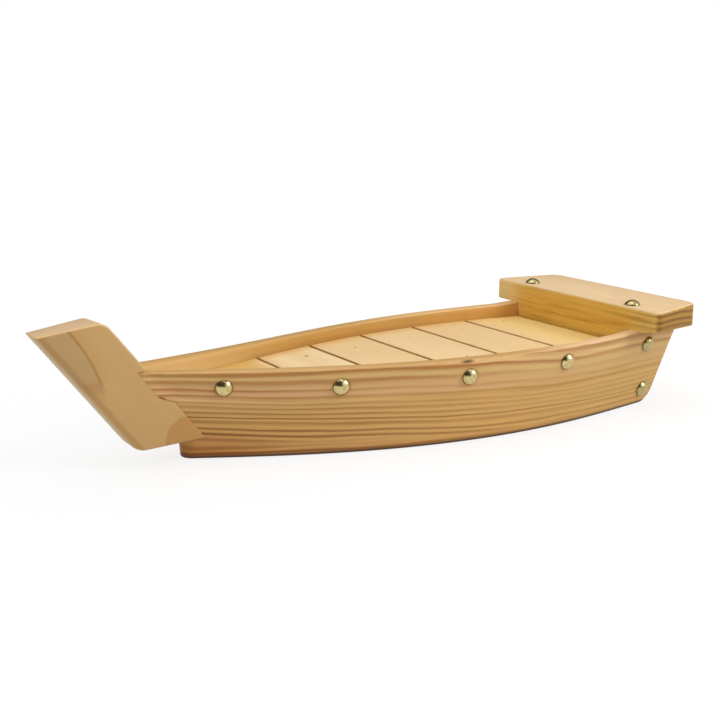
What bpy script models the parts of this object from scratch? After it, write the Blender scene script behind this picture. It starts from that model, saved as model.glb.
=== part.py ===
"""A wooden serving boat: raked stem, two bent planks, slatted deck and a stern seat.

Metres, +Z up. The boat stands on z = 0 with its bow towards -X and its stern towards +X.
The origin is on the ground, midway between the nose of the stem and the back of the seat.
"""

import math

import bmesh
import bpy
import numpy as np
from mathutils import Vector

# Overall length and the gap that is left wherever two pieces touch
OVERALL_LENGTH = 0.420
JOINT_GAP = 0.0003

# Hull lines: half beams of the rim and of the bottom edge, at the bow, three stations and the stern
FORE_STATION_X = -0.075
MIDDLE_STATION_X = 0.0
AFT_STATION_X = 0.090
RIM_HALF_BEAMS = (0.0153, 0.0387, 0.0605, 0.0705, 0.0610)
BOTTOM_HALF_BEAMS = (0.0046, 0.0305, 0.0552, 0.0631, 0.0494)
RIM_HEIGHT = 0.0515
BOW_SHEER = 0.0036
STERN_SHEER = 0.0010

# Side planks
PLANK_THICKNESS = 0.0083
PLANK_EASE = 0.0010
FOOT_ROUND = 0.0040
PLANK_SETBACK = 0.0301
PLANK_TAIL = 0.0277
AFT_RAKE = math.radians(15.0)
AFT_CORNER_RADIUS = 0.0100

# Stem
STEM_RISE = 0.0285
STEM_DEPTH = 0.0402
STEM_RAKE = math.radians(37.2)
STEM_NOSE_HALF_WIDTH = 0.0087
STEM_CHEEK = 0.0009
STEM_BOTTOM_AT_NOSE = 0.0098
STEM_TOP_SLOPE = 0.105
STEM_BOTTOM_SLOPE = 0.09
STEM_CROWN_RADIUS = 0.0054
STEM_TOE_RADIUS = 0.0048
STEM_EASE = 0.0012

# Stern: transom and seat share their front plane
SEAT_DEPTH = 0.0482
TRANSOM_THICKNESS = 0.0240
SEAT_THICKNESS = 0.0142
SEAT_FRONT_HALF_LENGTH = 0.0813
SEAT_BACK_HALF_LENGTH = 0.0689
SEAT_CORNER_RADIUS = 0.0075
SEAT_EASE = 0.0014

# Deck and what carries it
DECK_DEPTH = 0.0078
DECK_THICKNESS = 0.0060
FOREDECK_AFT_X = -0.0632
FOREDECK_TIP_HALF_WIDTH = 0.0020
SLAT_COUNT = 5
SLAT_GAP = 0.0020
SLAT_EASE = 0.0004
BATTEN_WIDTH = 0.0100
BATTEN_HEIGHT = 0.0085
BATTEN_FORE_Y = 0.0130
BATTEN_AFT_Y = 0.0455
BOTTOM_THICKNESS = 0.0040
BOTTOM_TIP_HALF_WIDTH = 0.0020
FRAME_THICKNESS = 0.0100
FRAME_X = (-0.0491, 0.0275, 0.0988)

# Fasteners
TACK_HEAD_RADIUS = 0.00525
TACK_HEAD_HEIGHT = 0.0031
TACK_SHANK_RADIUS = 0.0011
TACK_SHANK_LENGTH = 0.0065
BOW_TACK_SETBACK = 0.0360
SIDE_TACK_DROP = (0.0099, 0.0112, 0.0107, 0.0097)
STERN_TACK_SETBACK = 0.0131
STERN_TACK_DROP = 0.0095
LOWER_TACK_SETBACK = 0.0176
LOWER_TACK_HEIGHT = 0.0106
SEAT_TACK_SETBACK = 0.0085
SEAT_TACK_Y = 0.0500
PIN_RADIUS = 0.0008
PIN_LENGTH = 0.0110
PIN_PROUD = 0.0002
PIN_SHARES = (0.64, 0.50, 0.53, 0.57, 0.48)

# Mesh resolution
SURFACE_STEP = 0.0005
PLANK_SECTIONS = 26
PLANK_ROWS = 5
BOARD_SECTIONS = 5
ROUND_STEPS = 16
HOLE_SIDES = 12
PIN_SIDES = 8
EASE_SEGMENTS = 2
CORNER_SEGMENTS = 4
EASE_ANGLE = math.radians(50.0)
EASE_MIDDLE = 1.0 - math.sin(math.radians(45.0))
EASED_WALL = 4.0
ROW_MARGIN = 1.5
NOSE_SHARES = (0.0, 0.35, 0.7)
NOSE_FLAT = 0.1

SIDES = (("port", -1), ("starboard", 1))


def clear_scene():
    for obj in list(bpy.data.objects):
        bpy.data.objects.remove(obj, do_unlink=True)


def new_collection(name):
    collection = bpy.data.collections.new(name)
    bpy.context.scene.collection.children.link(collection)
    return collection


def finish(name, colour, roughness, metallic=0.0):
    material = bpy.data.materials.new(name)
    material.use_nodes = True
    shader = material.node_tree.nodes["Principled BSDF"]
    shader.inputs["Base Color"].default_value = (*colour, 1.0)
    shader.inputs["Roughness"].default_value = roughness
    shader.inputs["Metallic"].default_value = metallic
    return material


# Lines of the stem and the stern, which the ends of the hull follow

STEM_TOP_AT_NOSE = RIM_HEIGHT + STEM_RISE
STEM_NOSE_X = -OVERALL_LENGTH / 2.0
STEM_REAR_X = STEM_NOSE_X + STEM_DEPTH
RAKE = math.tan(STEM_RAKE)
SEAT_BACK_X = OVERALL_LENGTH / 2.0
TRANSOM_FRONT_X = SEAT_BACK_X - SEAT_DEPTH
AFT_BOTTOM_X = TRANSOM_FRONT_X + PLANK_TAIL


def raked(x, z):
    """Where a line that stands at x at the top of the nose has come to at height z."""
    return x + RAKE * (STEM_TOP_AT_NOSE - z)


def stem_bottom(x):
    """Height of the stem's sloping underside at x."""
    nose_toe = raked(STEM_NOSE_X, STEM_BOTTOM_AT_NOSE)
    return STEM_BOTTOM_AT_NOSE + STEM_BOTTOM_SLOPE * (x - nose_toe)


# The planks' raked front meets the stem's underside at the foot
FOOT_HEIGHT = STEM_BOTTOM_AT_NOSE + STEM_BOTTOM_SLOPE * PLANK_SETBACK / (1.0 + STEM_BOTTOM_SLOPE * RAKE)
FOOT_X = raked(STEM_NOSE_X + PLANK_SETBACK, FOOT_HEIGHT)
BOW_RIM_X = raked(STEM_REAR_X, RIM_HEIGHT)

# Hull surface

RIM_STATIONS = (BOW_RIM_X, FORE_STATION_X, MIDDLE_STATION_X, AFT_STATION_X, AFT_BOTTOM_X)
BOTTOM_STATIONS = (FOOT_X, FORE_STATION_X, MIDDLE_STATION_X, AFT_STATION_X, AFT_BOTTOM_X)


def smooth_curve(stations, values):
    """Natural cubic curve through the values at the stations, as a function of x."""
    count = len(stations)
    steps = np.diff(stations)
    system = np.eye(count)
    right = np.zeros(count)
    for i in range(1, count - 1):
        before, after = steps[i - 1], steps[i]
        system[i, i - 1:i + 2] = before, 2.0 * (before + after), after
        right[i] = 6.0 * ((values[i + 1] - values[i]) / after - (values[i] - values[i - 1]) / before)
    bends = np.linalg.solve(system, right)

    def curve(x):
        i = int(np.clip(np.searchsorted(stations, x) - 1, 0, count - 2))
        step = steps[i]
        left, ahead = stations[i + 1] - x, x - stations[i]
        cubic = (bends[i] * left ** 3 + bends[i + 1] * ahead ** 3) / (6.0 * step)
        line_left = (values[i] / step - bends[i] * step / 6.0) * left
        line_ahead = (values[i + 1] / step - bends[i + 1] * step / 6.0) * ahead
        return float(cubic + line_left + line_ahead)

    return curve


rim_half_beam = smooth_curve(RIM_STATIONS, RIM_HALF_BEAMS)
bottom_half_beam = smooth_curve(BOTTOM_STATIONS, BOTTOM_HALF_BEAMS)


def rim_height(x):
    """The rim rises a little towards both ends."""
    if x < 0.0:
        return RIM_HEIGHT + BOW_SHEER * (x / BOW_RIM_X) ** 2
    return RIM_HEIGHT + STERN_SHEER * (x / TRANSOM_FRONT_X) ** 2


def hull_half(x, z):
    """Half beam of the planks' outer faces, on a straight line from bottom edge to rim."""
    bottom = bottom_half_beam(x)
    return bottom + (rim_half_beam(x) - bottom) * z / rim_height(x)


def hull_slopes(x, z):
    """Change of the half beam along the boat and upwards."""
    step = SURFACE_STEP
    along = (hull_half(x + step, z) - hull_half(x - step, z)) / (2.0 * step)
    upward = (hull_half(x, z + step) - hull_half(x, z - step)) / (2.0 * step)
    return along, upward


def inner_half(x, z):
    """Half beam of the planks' inner faces, a plank's thickness in from the outer ones."""
    along, upward = hull_slopes(x, z)
    return hull_half(x, z) - PLANK_THICKNESS * math.sqrt(1.0 + along ** 2 + upward ** 2)


def hull_normal(x, z, side):
    along, upward = hull_slopes(x, z)
    return Vector((-along, side, -upward)).normalized()


def first_x(z, width, start, stop):
    """First x from start on at which there is room between the planks for a half width."""
    x = start
    while inner_half(x, z) < width and x < stop:
        x += SURFACE_STEP
    return x


SEAM_MIDDLE = RIM_HEIGHT / 2.0
STEM_REAR_HALF_WIDTH = hull_half(raked(STEM_REAR_X, SEAM_MIDDLE), SEAM_MIDDLE) + JOINT_GAP + STEM_CHEEK


def plank_front(z):
    """Front end of the planks: upright at the foot, then raked inside the stem."""
    return FOOT_X - RAKE * max(0.0, z - FOOT_HEIGHT)


def plank_aft(z):
    """Aft end of the planks: raked, with a rounded lower corner."""
    line = AFT_BOTTOM_X + math.tan(AFT_RAKE) * z
    if z >= AFT_CORNER_RADIUS:
        return line
    drop = AFT_CORNER_RADIUS - z
    return line - AFT_CORNER_RADIUS + math.sqrt(AFT_CORNER_RADIUS ** 2 - drop ** 2)


# Solids


def place(mesh, name, material, collection):
    mesh.materials.append(material)
    obj = bpy.data.objects.new(name, mesh)
    collection.objects.link(obj)
    return obj


def mesh_from(bm, name):
    bmesh.ops.recalc_face_normals(bm, faces=bm.faces)
    mesh = bpy.data.meshes.new(name)
    bm.to_mesh(mesh)
    bm.free()
    return mesh


def loft(name, loops):
    """Skin a row of closed loops. A loop runs up one side and down the other, so its
    points pair off across it, and each end is closed by quads between the pairs."""
    bm = bmesh.new()
    rings = [[bm.verts.new(point) for point in loop] for loop in loops]
    count = len(rings[0])
    for ring, following in zip(rings, rings[1:]):
        for k in range(count):
            n = (k + 1) % count
            bm.faces.new((ring[k], ring[n], following[n], following[k]))
    for ring in (rings[0], rings[-1]):
        for k in range(count // 2 - 1):
            bm.faces.new((ring[k], ring[k + 1], ring[count - 2 - k], ring[count - 1 - k]))
    return mesh_from(bm, name)


def ease_edges(obj, width, segments=EASE_SEGMENTS):
    bevel = obj.modifiers.new("eased_edges", "BEVEL")
    bevel.width = width
    bevel.segments = segments
    bevel.limit_method = "ANGLE"
    bevel.angle_limit = EASE_ANGLE


def cut(obj, cutter):
    boolean = obj.modifiers.new(cutter.name, "BOOLEAN")
    boolean.operation = "DIFFERENCE"
    boolean.solver = "EXACT"
    boolean.object = cutter


def make_cutter(mesh, name, cutters):
    cutter = bpy.data.objects.new(name, mesh)
    cutters.objects.link(cutter)
    cutter.hide_render = True
    cutter.display_type = "WIRE"
    return cutter


def drill(obj, name, start, direction, depth, radius, cutters, sides=HOLE_SIDES):
    """A blind hole from a point just above the surface, along a direction into the piece."""
    bm = bmesh.new()
    bmesh.ops.create_cone(bm, cap_ends=True, segments=sides, radius1=radius, radius2=radius,
                          depth=2.0 * depth)
    cutter = make_cutter(mesh_from(bm, name), name, cutters)
    cutter.location = start
    cutter.rotation_euler = direction.to_track_quat("Z", "Y").to_euler()
    cut(obj, cutter)


# Planks


def levels_above_foot():
    """Heights, from the foot to just below the rim, that the twisted bow needs."""
    rise = (RIM_HEIGHT - FOOT_HEIGHT) / PLANK_ROWS
    return [FOOT_HEIGHT + rise * k for k in range(PLANK_ROWS)]


def plank_rows():
    """Heights of a plank section's points, as shares of the rim's height."""
    turns = [math.pi / 2.0 * (k + 1) / CORNER_SEGMENTS for k in range(CORNER_SEGMENTS)]
    corner = [AFT_CORNER_RADIUS * (1.0 - math.cos(turn)) for turn in turns]
    margin = ROW_MARGIN * PLANK_EASE
    heights = [z for z in corner + levels_above_foot() if margin < z < RIM_HEIGHT - margin]
    return sorted(z / RIM_HEIGHT for z in heights)


def plank_section(rounding, share, side):
    """One closed loop of a plank, its outer face upwards and its inner face back down.
    The rounding runs from 0 to 1 over the rounded nose, then the share from 0 to 1 to the aft end."""

    def x_at(z):
        front = plank_front(z)
        body = plank_aft(z) - front - FOOT_ROUND
        return front + FOOT_ROUND * rounding + body * share

    def point(height_share, drop, inset, inside):
        z = height_share * rim_height(x_at(height_share * RIM_HEIGHT)) + drop
        x = x_at(z)
        outer = hull_half(x, z) * math.sqrt(1.0 - (1.0 - max(rounding, NOSE_FLAT)) ** 2)
        inner = max(JOINT_GAP / 2.0, inner_half(x, z))
        inset = inset * min(1.0, (outer - inner) / (EASED_WALL * PLANK_EASE))
        y = inner + inset if inside else outer - inset
        return x, side * y, z

    near = EASE_MIDDLE * PLANK_EASE
    bottom = [(0.0, 0.0, PLANK_EASE), (0.0, near, near), (0.0, PLANK_EASE, 0.0)]
    middle = [(row, 0.0, 0.0) for row in plank_rows()]
    top = [(1.0, -PLANK_EASE, 0.0), (1.0, -near, near), (1.0, 0.0, PLANK_EASE)]
    profile = bottom + middle + top
    outer_face = [point(*entry, inside=False) for entry in profile]
    inner_face = [point(*entry, inside=True) for entry in profile]
    return outer_face + inner_face[::-1]


def make_plank(side_name, side, material, parts):
    nose = [(rounding, 0.0) for rounding in NOSE_SHARES]
    body = [(1.0, k / PLANK_SECTIONS) for k in range(PLANK_SECTIONS + 1)]
    loops = [plank_section(rounding, share, side) for rounding, share in nose + body]
    name = "side_plank_" + side_name
    return place(loft(name, loops), name, material, parts)


# Boards fitted between the planks


def fitted_board(name, x_range, z_range, material, parts, sections=BOARD_SECTIONS):
    """A board whose ends follow the planks' inner faces."""
    loops = []
    for k in range(sections + 1):
        x = x_range[0] + (x_range[1] - x_range[0]) * k / sections
        below, above = ((inner_half(x, z) - JOINT_GAP, z) for z in z_range)
        right = [(x, -y, z) for y, z in (below, above)]
        left = [(x, y, z) for y, z in (above, below)]
        loops.append(right + left)
    return place(loft(name, loops), name, material, parts)


DECK_TOP = RIM_HEIGHT - DECK_DEPTH
DECK_UNDERSIDE = DECK_TOP - DECK_THICKNESS
BATTEN_TOP = DECK_UNDERSIDE - JOINT_GAP
BATTEN_UNDERSIDE = BATTEN_TOP - BATTEN_HEIGHT
FRAME_FOOT = BOTTOM_THICKNESS + JOINT_GAP
DECK_AFT_X = TRANSOM_FRONT_X - JOINT_GAP
SLAT_PITCH = (DECK_AFT_X - FOREDECK_AFT_X) / SLAT_COUNT
BATTEN_FORE_SIDE = BATTEN_FORE_Y + BATTEN_WIDTH / 2.0
BATTEN_FORE_X = first_x(BATTEN_UNDERSIDE, BATTEN_FORE_SIDE + JOINT_GAP, FOOT_X, FOREDECK_AFT_X)


def make_deck(material, parts):
    """The pointed foredeck, then the slats, each a gap behind the one before."""
    tip = first_x(DECK_UNDERSIDE, FOREDECK_TIP_HALF_WIDTH, raked(STEM_REAR_X, DECK_TOP), FOREDECK_AFT_X)
    foredeck_range = (tip + JOINT_GAP, FOREDECK_AFT_X - SLAT_GAP / 2.0)
    deck_range = (DECK_UNDERSIDE, DECK_TOP)
    foredeck = fitted_board("foredeck", foredeck_range, deck_range, material, parts, 2 * BOARD_SECTIONS)
    ease_edges(foredeck, SLAT_EASE, 1)
    slats = []
    for k in range(SLAT_COUNT):
        front = FOREDECK_AFT_X + k * SLAT_PITCH + SLAT_GAP / 2.0
        back = min(front + SLAT_PITCH - SLAT_GAP, DECK_AFT_X)
        slat = fitted_board(f"deck_slat_{k + 1}", (front, back), deck_range, material, parts)
        ease_edges(slat, SLAT_EASE, 1)
        slats.append((slat, front + PIN_SHARES[k % len(PIN_SHARES)] * (back - front)))
    return slats


def batten_y(x):
    """The battens run closer together towards the bow."""
    share = (x - BATTEN_FORE_X) / (DECK_AFT_X - BATTEN_FORE_X)
    return BATTEN_FORE_Y + (BATTEN_AFT_Y - BATTEN_FORE_Y) * share


def make_batten(side_name, side, material, parts):
    loops = []
    for x in (BATTEN_FORE_X, DECK_AFT_X):
        inside, outside = (side * (batten_y(x) + s * BATTEN_WIDTH / 2.0) for s in (-1, 1))
        loops.append([(x, inside, BATTEN_UNDERSIDE), (x, inside, BATTEN_TOP),
                      (x, outside, BATTEN_TOP), (x, outside, BATTEN_UNDERSIDE)])
    name = "deck_batten_" + side_name
    return place(loft(name, loops), name, material, parts)


def make_frames(material, parts):
    """Cross frames on the bottom board, each with a tack at either end."""
    for name, x in zip(("frame_fore", "frame_mid", "frame_aft"), FRAME_X):
        x_range = (x - FRAME_THICKNESS / 2.0, x + FRAME_THICKNESS / 2.0)
        fitted_board(name, x_range, (FRAME_FOOT, BATTEN_UNDERSIDE - JOINT_GAP), material, parts, 1)


def make_bottom(material, parts):
    tip = first_x(0.0, BOTTOM_TIP_HALF_WIDTH, FOOT_X, FOREDECK_AFT_X)
    x_range = (tip + JOINT_GAP, TRANSOM_FRONT_X + TRANSOM_THICKNESS)
    fitted_board("bottom_board", x_range, (0.0, BOTTOM_THICKNESS), material, parts, 4 * BOARD_SECTIONS)


# Stem and stern


def make_stem(material, parts, cutters):
    """A raked block, wider behind, with a rounded crown and toe, slotted over the planks."""
    crown = STEM_TOP_AT_NOSE + STEM_TOP_SLOPE * STEM_DEPTH
    heel = stem_bottom(raked(STEM_REAR_X, STEM_BOTTOM_AT_NOSE))
    bm = bmesh.new()
    bmesh.ops.create_cube(bm, size=2.0)
    for vert in bm.verts:
        behind, above = vert.co.x > 0.0, vert.co.z > 0.0
        if behind:
            z = crown if above else heel
            x = raked(STEM_REAR_X, z)
            half_width = STEM_REAR_HALF_WIDTH
        else:
            z = STEM_TOP_AT_NOSE if above else STEM_BOTTOM_AT_NOSE
            x = raked(STEM_NOSE_X, z)
            half_width = STEM_NOSE_HALF_WIDTH
        vert.co = (x, math.copysign(half_width, vert.co.y), z)
    for corner_x, corner_z, radius in ((1, 1, STEM_CROWN_RADIUS), (-1, -1, STEM_TOE_RADIUS)):
        edges = []
        for edge in bm.edges:
            ends = [v.co for v in edge.verts]
            across = abs(ends[0].y - ends[1].y) > STEM_NOSE_HALF_WIDTH
            centre = (ends[0] + ends[1]) / 2.0
            axis_x = raked(STEM_NOSE_X + STEM_DEPTH / 2.0, centre.z)
            at_height = (centre.z - SEAM_MIDDLE) * corner_z > 0.0
            if across and at_height and (centre.x - axis_x) * corner_x > 0.0:
                edges.append(edge)
        bmesh.ops.bevel(bm, geom=edges, offset=radius, segments=CORNER_SEGMENTS, profile=0.5, affect="EDGES")
    stem = place(mesh_from(bm, "stem"), "stem", material, parts)
    ease_edges(stem, STEM_EASE)
    cut(stem, make_cutter(bow_wedge(), "stem_slot", cutters))


def bow_wedge():
    """The space that the two plank ends fill in the stem, a gap larger all round."""

    def x_at(share, z):
        front = plank_front(z) - JOINT_GAP
        behind = raked(STEM_REAR_X, z) + STEM_DEPTH / 2.0
        return front + (behind - front) * share

    loops = []
    for share in (0.0, 0.25, 0.5, 0.75, 1.0):
        top = rim_height(x_at(share, RIM_HEIGHT + BOW_SHEER)) + JOINT_GAP
        right = []
        for z in [-STEM_BOTTOM_AT_NOSE] + levels_above_foot() + [top]:
            x = x_at(share, z)
            right.append((x, -hull_half(x, z) - JOINT_GAP, z))
        left = [(x, -y, z) for x, y, z in right]
        loops.append(right + left[::-1])
    return loft("stem_slot", loops)


def make_transom(material, parts):
    x_range = (TRANSOM_FRONT_X, TRANSOM_FRONT_X + TRANSOM_THICKNESS)
    fitted_board("transom", x_range, (FRAME_FOOT, rim_height(TRANSOM_FRONT_X)), material, parts, 2)


SEAT_UNDERSIDE = rim_height(plank_aft(rim_height(TRANSOM_FRONT_X))) + JOINT_GAP
SEAT_TOP = SEAT_UNDERSIDE + SEAT_THICKNESS


def make_seat(material, parts):
    """A board with its ends converging aft, rounded corners and eased edges."""
    bm = bmesh.new()
    bmesh.ops.create_cube(bm, size=2.0)
    for vert in bm.verts:
        behind = vert.co.x > 0.0
        half_length = SEAT_BACK_HALF_LENGTH if behind else SEAT_FRONT_HALF_LENGTH
        x = SEAT_BACK_X if behind else TRANSOM_FRONT_X
        z = SEAT_TOP if vert.co.z > 0.0 else SEAT_UNDERSIDE
        vert.co = (x, math.copysign(half_length, vert.co.y), z)
    uprights = [e for e in bm.edges if abs(e.verts[0].co.z - e.verts[1].co.z) > SEAT_THICKNESS / 2.0]
    bmesh.ops.bevel(bm, geom=uprights, offset=SEAT_CORNER_RADIUS, segments=CORNER_SEGMENTS, profile=0.5,
                    affect="EDGES")
    seat = place(mesh_from(bm, "stern_seat"), "stern_seat", material, parts)
    ease_edges(seat, SEAT_EASE)
    return seat


# Fasteners


def turned_mesh(name, profile):
    """A profile in the XZ plane, from the top of the axis down its outer side."""
    mesh = bpy.data.meshes.new(name)
    edges = [(k, k + 1) for k in range(len(profile) - 1)]
    mesh.from_pydata([(r, 0.0, z) for r, z in profile], edges, [])
    return mesh


def turn(obj, steps):
    screw = obj.modifiers.new("turned", "SCREW")
    screw.axis = "Z"
    screw.angle = 2.0 * math.pi
    screw.steps = steps
    screw.render_steps = steps
    screw.use_merge_vertices = True
    screw.merge_threshold = 0.00001
    screw.use_smooth_shade = True


def tack_profile():
    """A domed head, part of a sphere, on a pointed shank."""
    sphere = (TACK_HEAD_RADIUS ** 2 + TACK_HEAD_HEIGHT ** 2) / (2.0 * TACK_HEAD_HEIGHT)
    spread = math.asin(TACK_HEAD_RADIUS / sphere)
    dome = []
    for k in range(CORNER_SEGMENTS + 1):
        angle = spread * k / CORNER_SEGMENTS
        dome.append((sphere * math.sin(angle), TACK_HEAD_HEIGHT - sphere * (1.0 - math.cos(angle))))
    point_length = 2.0 * TACK_SHANK_RADIUS
    shank = [(TACK_SHANK_RADIUS, 0.0), (TACK_SHANK_RADIUS, point_length - TACK_SHANK_LENGTH)]
    return dome + shank + [(0.0, -TACK_SHANK_LENGTH)]


def make_tack(name, mesh, seat_point, normal, carrier, parts, cutters):
    """A tack on a surface point, and its hole in the piece that carries it."""
    tack = bpy.data.objects.new(name, mesh)
    parts.objects.link(tack)
    tack.location = seat_point + normal * JOINT_GAP
    tack.rotation_euler = normal.to_track_quat("Z", "Y").to_euler()
    turn(tack, ROUND_STEPS)
    drill(carrier, name + "_hole", seat_point, normal, TACK_SHANK_LENGTH + JOINT_GAP,
          TACK_SHANK_RADIUS + JOINT_GAP, cutters)


def make_side_tacks(side_name, side, plank, mesh, parts, cutters):
    """A row below the rim, one more on the transom's line and one low at the stern."""
    row = (BOW_RIM_X + BOW_TACK_SETBACK, *FRAME_X)
    stern_x = TRANSOM_FRONT_X + STERN_TACK_SETBACK
    spots = [(x, rim_height(x) - drop) for x, drop in zip(row, SIDE_TACK_DROP)]
    spots.append((stern_x, rim_height(stern_x) - STERN_TACK_DROP))
    spots.append((TRANSOM_FRONT_X + LOWER_TACK_SETBACK, LOWER_TACK_HEIGHT))
    for k, (x, z) in enumerate(spots):
        seat_point = Vector((x, side * hull_half(x, z), z))
        normal = hull_normal(x, z, side)
        make_tack(f"side_tack_{side_name}_{k + 1}", mesh, seat_point, normal, plank, parts, cutters)


def make_seat_tacks(seat, mesh, parts, cutters):
    for side_name, side in SIDES:
        seat_point = Vector((TRANSOM_FRONT_X + SEAT_TACK_SETBACK, side * SEAT_TACK_Y, SEAT_TOP))
        make_tack("seat_tack_" + side_name, mesh, seat_point, Vector((0.0, 0.0, 1.0)), seat, parts, cutters)


def make_slat_pins(slats, battens, material, parts, cutters):
    """Two pins hold each slat to the battens."""
    point_length = 2.0 * PIN_RADIUS
    head = [(0.0, PIN_PROUD), (PIN_RADIUS, 0.0)]
    shank = [(PIN_RADIUS, point_length - PIN_LENGTH), (0.0, -PIN_LENGTH)]
    mesh = turned_mesh("slat_pin", head + shank)
    mesh.materials.append(material)
    up = Vector((0.0, 0.0, 1.0))
    for slat, x in slats:
        for (side_name, side), batten in zip(SIDES, battens):
            name = f"slat_pin_{side_name}_{slat.name[-1]}"
            pin = bpy.data.objects.new(name, mesh)
            parts.objects.link(pin)
            pin.location = (x, side * batten_y(x), DECK_TOP)
            turn(pin, PIN_SIDES)
            for carrier in (slat, batten):
                drill(carrier, f"{name}_hole_{carrier.name}", pin.location.copy(), up, PIN_LENGTH + JOINT_GAP,
                      PIN_RADIUS + JOINT_GAP, cutters, PIN_SIDES)


def main():
    clear_scene()
    parts = new_collection("sushi_boat")
    cutters = new_collection("cutters")
    plank_pine = finish("plank_pine", (0.60, 0.36, 0.14), 0.55)
    stem_pine = finish("stem_pine", (0.58, 0.36, 0.16), 0.60)
    deck_pine = finish("deck_pine", (0.84, 0.62, 0.33), 0.60)
    stern_pine = finish("stern_pine", (0.70, 0.46, 0.18), 0.58)
    inside_pine = finish("inside_pine", (0.66, 0.45, 0.22), 0.70)
    brass = finish("tack_brass", (0.78, 0.58, 0.24), 0.22, 1.0)
    steel = finish("pin_steel", (0.45, 0.40, 0.34), 0.45, 1.0)

    planks = [make_plank(name, side, plank_pine, parts) for name, side in SIDES]
    make_stem(stem_pine, parts, cutters)
    make_bottom(inside_pine, parts)
    make_frames(inside_pine, parts)
    battens = [make_batten(name, side, inside_pine, parts) for name, side in SIDES]
    slats = make_deck(deck_pine, parts)
    make_transom(stern_pine, parts)
    seat = make_seat(stern_pine, parts)

    tack_mesh = turned_mesh("dome_tack", tack_profile())
    tack_mesh.materials.append(brass)
    for (side_name, side), plank in zip(SIDES, planks):
        make_side_tacks(side_name, side, plank, tack_mesh, parts, cutters)
    make_seat_tacks(seat, tack_mesh, parts, cutters)
    make_slat_pins(slats, battens, steel, parts, cutters)


main()
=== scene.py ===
"""Looks of a wooden serving boat: two bent planks, a raked stem, a slatted deck, a stern seat
and domed brass tacks. Metres, +Z up, bow towards -X. Every piece stands on a solid of the frame."""

import math

import bmesh
import bpy
import numpy as np
from mathutils import Matrix, Vector


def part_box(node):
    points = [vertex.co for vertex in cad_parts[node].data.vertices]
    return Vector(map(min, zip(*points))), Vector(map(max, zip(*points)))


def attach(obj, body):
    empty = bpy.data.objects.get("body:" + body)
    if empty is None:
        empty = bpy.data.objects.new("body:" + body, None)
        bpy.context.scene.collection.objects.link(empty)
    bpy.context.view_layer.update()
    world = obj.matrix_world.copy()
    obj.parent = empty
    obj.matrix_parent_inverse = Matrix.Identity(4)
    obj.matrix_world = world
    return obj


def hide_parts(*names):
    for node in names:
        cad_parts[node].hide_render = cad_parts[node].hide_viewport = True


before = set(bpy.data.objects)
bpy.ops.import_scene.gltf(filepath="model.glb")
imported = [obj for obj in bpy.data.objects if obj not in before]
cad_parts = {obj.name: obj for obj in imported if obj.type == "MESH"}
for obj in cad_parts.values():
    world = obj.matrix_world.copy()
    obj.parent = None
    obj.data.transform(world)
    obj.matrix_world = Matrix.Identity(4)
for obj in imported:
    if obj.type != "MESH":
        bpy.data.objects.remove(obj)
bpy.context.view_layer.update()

# Hull sizes, the same as in the solids
OVERALL_LENGTH = 0.420
JOINT_GAP = 0.0003
FORE_STATION_X = -0.075
MIDDLE_STATION_X = 0.0
AFT_STATION_X = 0.090
RIM_HALF_BEAMS = (0.0153, 0.0387, 0.0605, 0.0705, 0.0610)
BOTTOM_HALF_BEAMS = (0.0046, 0.0305, 0.0552, 0.0631, 0.0494)
RIM_HEIGHT = 0.0515
BOW_SHEER = 0.0036
STERN_SHEER = 0.0010
PLANK_THICKNESS = 0.0083
PLANK_SETBACK = 0.0301
PLANK_TAIL = 0.0277
FOOT_ROUND = 0.0040
AFT_RAKE = math.radians(15.0)
AFT_CORNER_RADIUS = 0.0100

# Stem, stern and fastener sizes, the same as in the solids
STEM_RISE = 0.0285
STEM_DEPTH = 0.0402
STEM_RAKE = math.radians(37.2)
STEM_NOSE_HALF_WIDTH = 0.0087
STEM_CHEEK = 0.0009
STEM_BOTTOM_AT_NOSE = 0.0098
STEM_TOP_SLOPE = 0.105
STEM_BOTTOM_SLOPE = 0.09
STEM_TOE_RADIUS = 0.0048
SEAT_DEPTH = 0.0482
SEAT_FRONT_HALF_LENGTH = 0.0813
SEAT_BACK_HALF_LENGTH = 0.0689
BATTEN_WIDTH = 0.0100
TACK_HEAD_RADIUS = 0.00525
TACK_HEAD_HEIGHT = 0.0031
TACK_SHANK_RADIUS = 0.0011
TACK_SHANK_LENGTH = 0.0065
PIN_RADIUS = 0.0008
PIN_HEAD_RADIUS = 0.0011
PIN_HEAD_HEIGHT = 0.0004

# Fine shape of the planks, and of the lap of their upper ends over the stem's cheeks
PLANK_EASE = 0.0013
NOSE_FLAT = 0.1
RIM_FIT_LENGTH = 0.016
LAP_SETBACK = 0.0340
LAP_HEIGHT = 0.0401
LAP_SLOPE = 0.565
LAP_TOP_SLOPE = 0.42
LAP_PROUD = 0.0001
LAP_STEP = 0.0008

# Fine shape of the stem
STEM_EASE = 0.0014
STEM_CRISP_SHARE = 0.4
STEM_HEEL_FIT = 0.0006
STEM_CROWN_FIT = -0.0006
STEM_NOSE_FIT = -0.0008
STEM_TOP_RISE = 0.0014
STEM_TOP_SKEW = -0.0014
STEM_CROWN_ROUND = 0.0046
SLOT_CLEARANCE = 0.0001

# Fine shape of the seat, the deck and the boards below it
SEAT_EASE = 0.0016
SEAT_FOOT_EASE = 0.0007
SEAT_BACK_RISE = 0.0008
SEAT_CORNER_LIFT = 0.0018
SEAT_LIFT_LENGTH = 0.012
SEAT_FRONT_FIT = 0.0008
SEAT_CORNER_ROUND = 0.0062
SEAT_CORNER_START = 0.0001
SLAT_EASE = 0.0006
SLAT_SHRINKAGE = 0.0004
HIDDEN_EASE = 0.0005
GLUE_LINE = 0.00002

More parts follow.
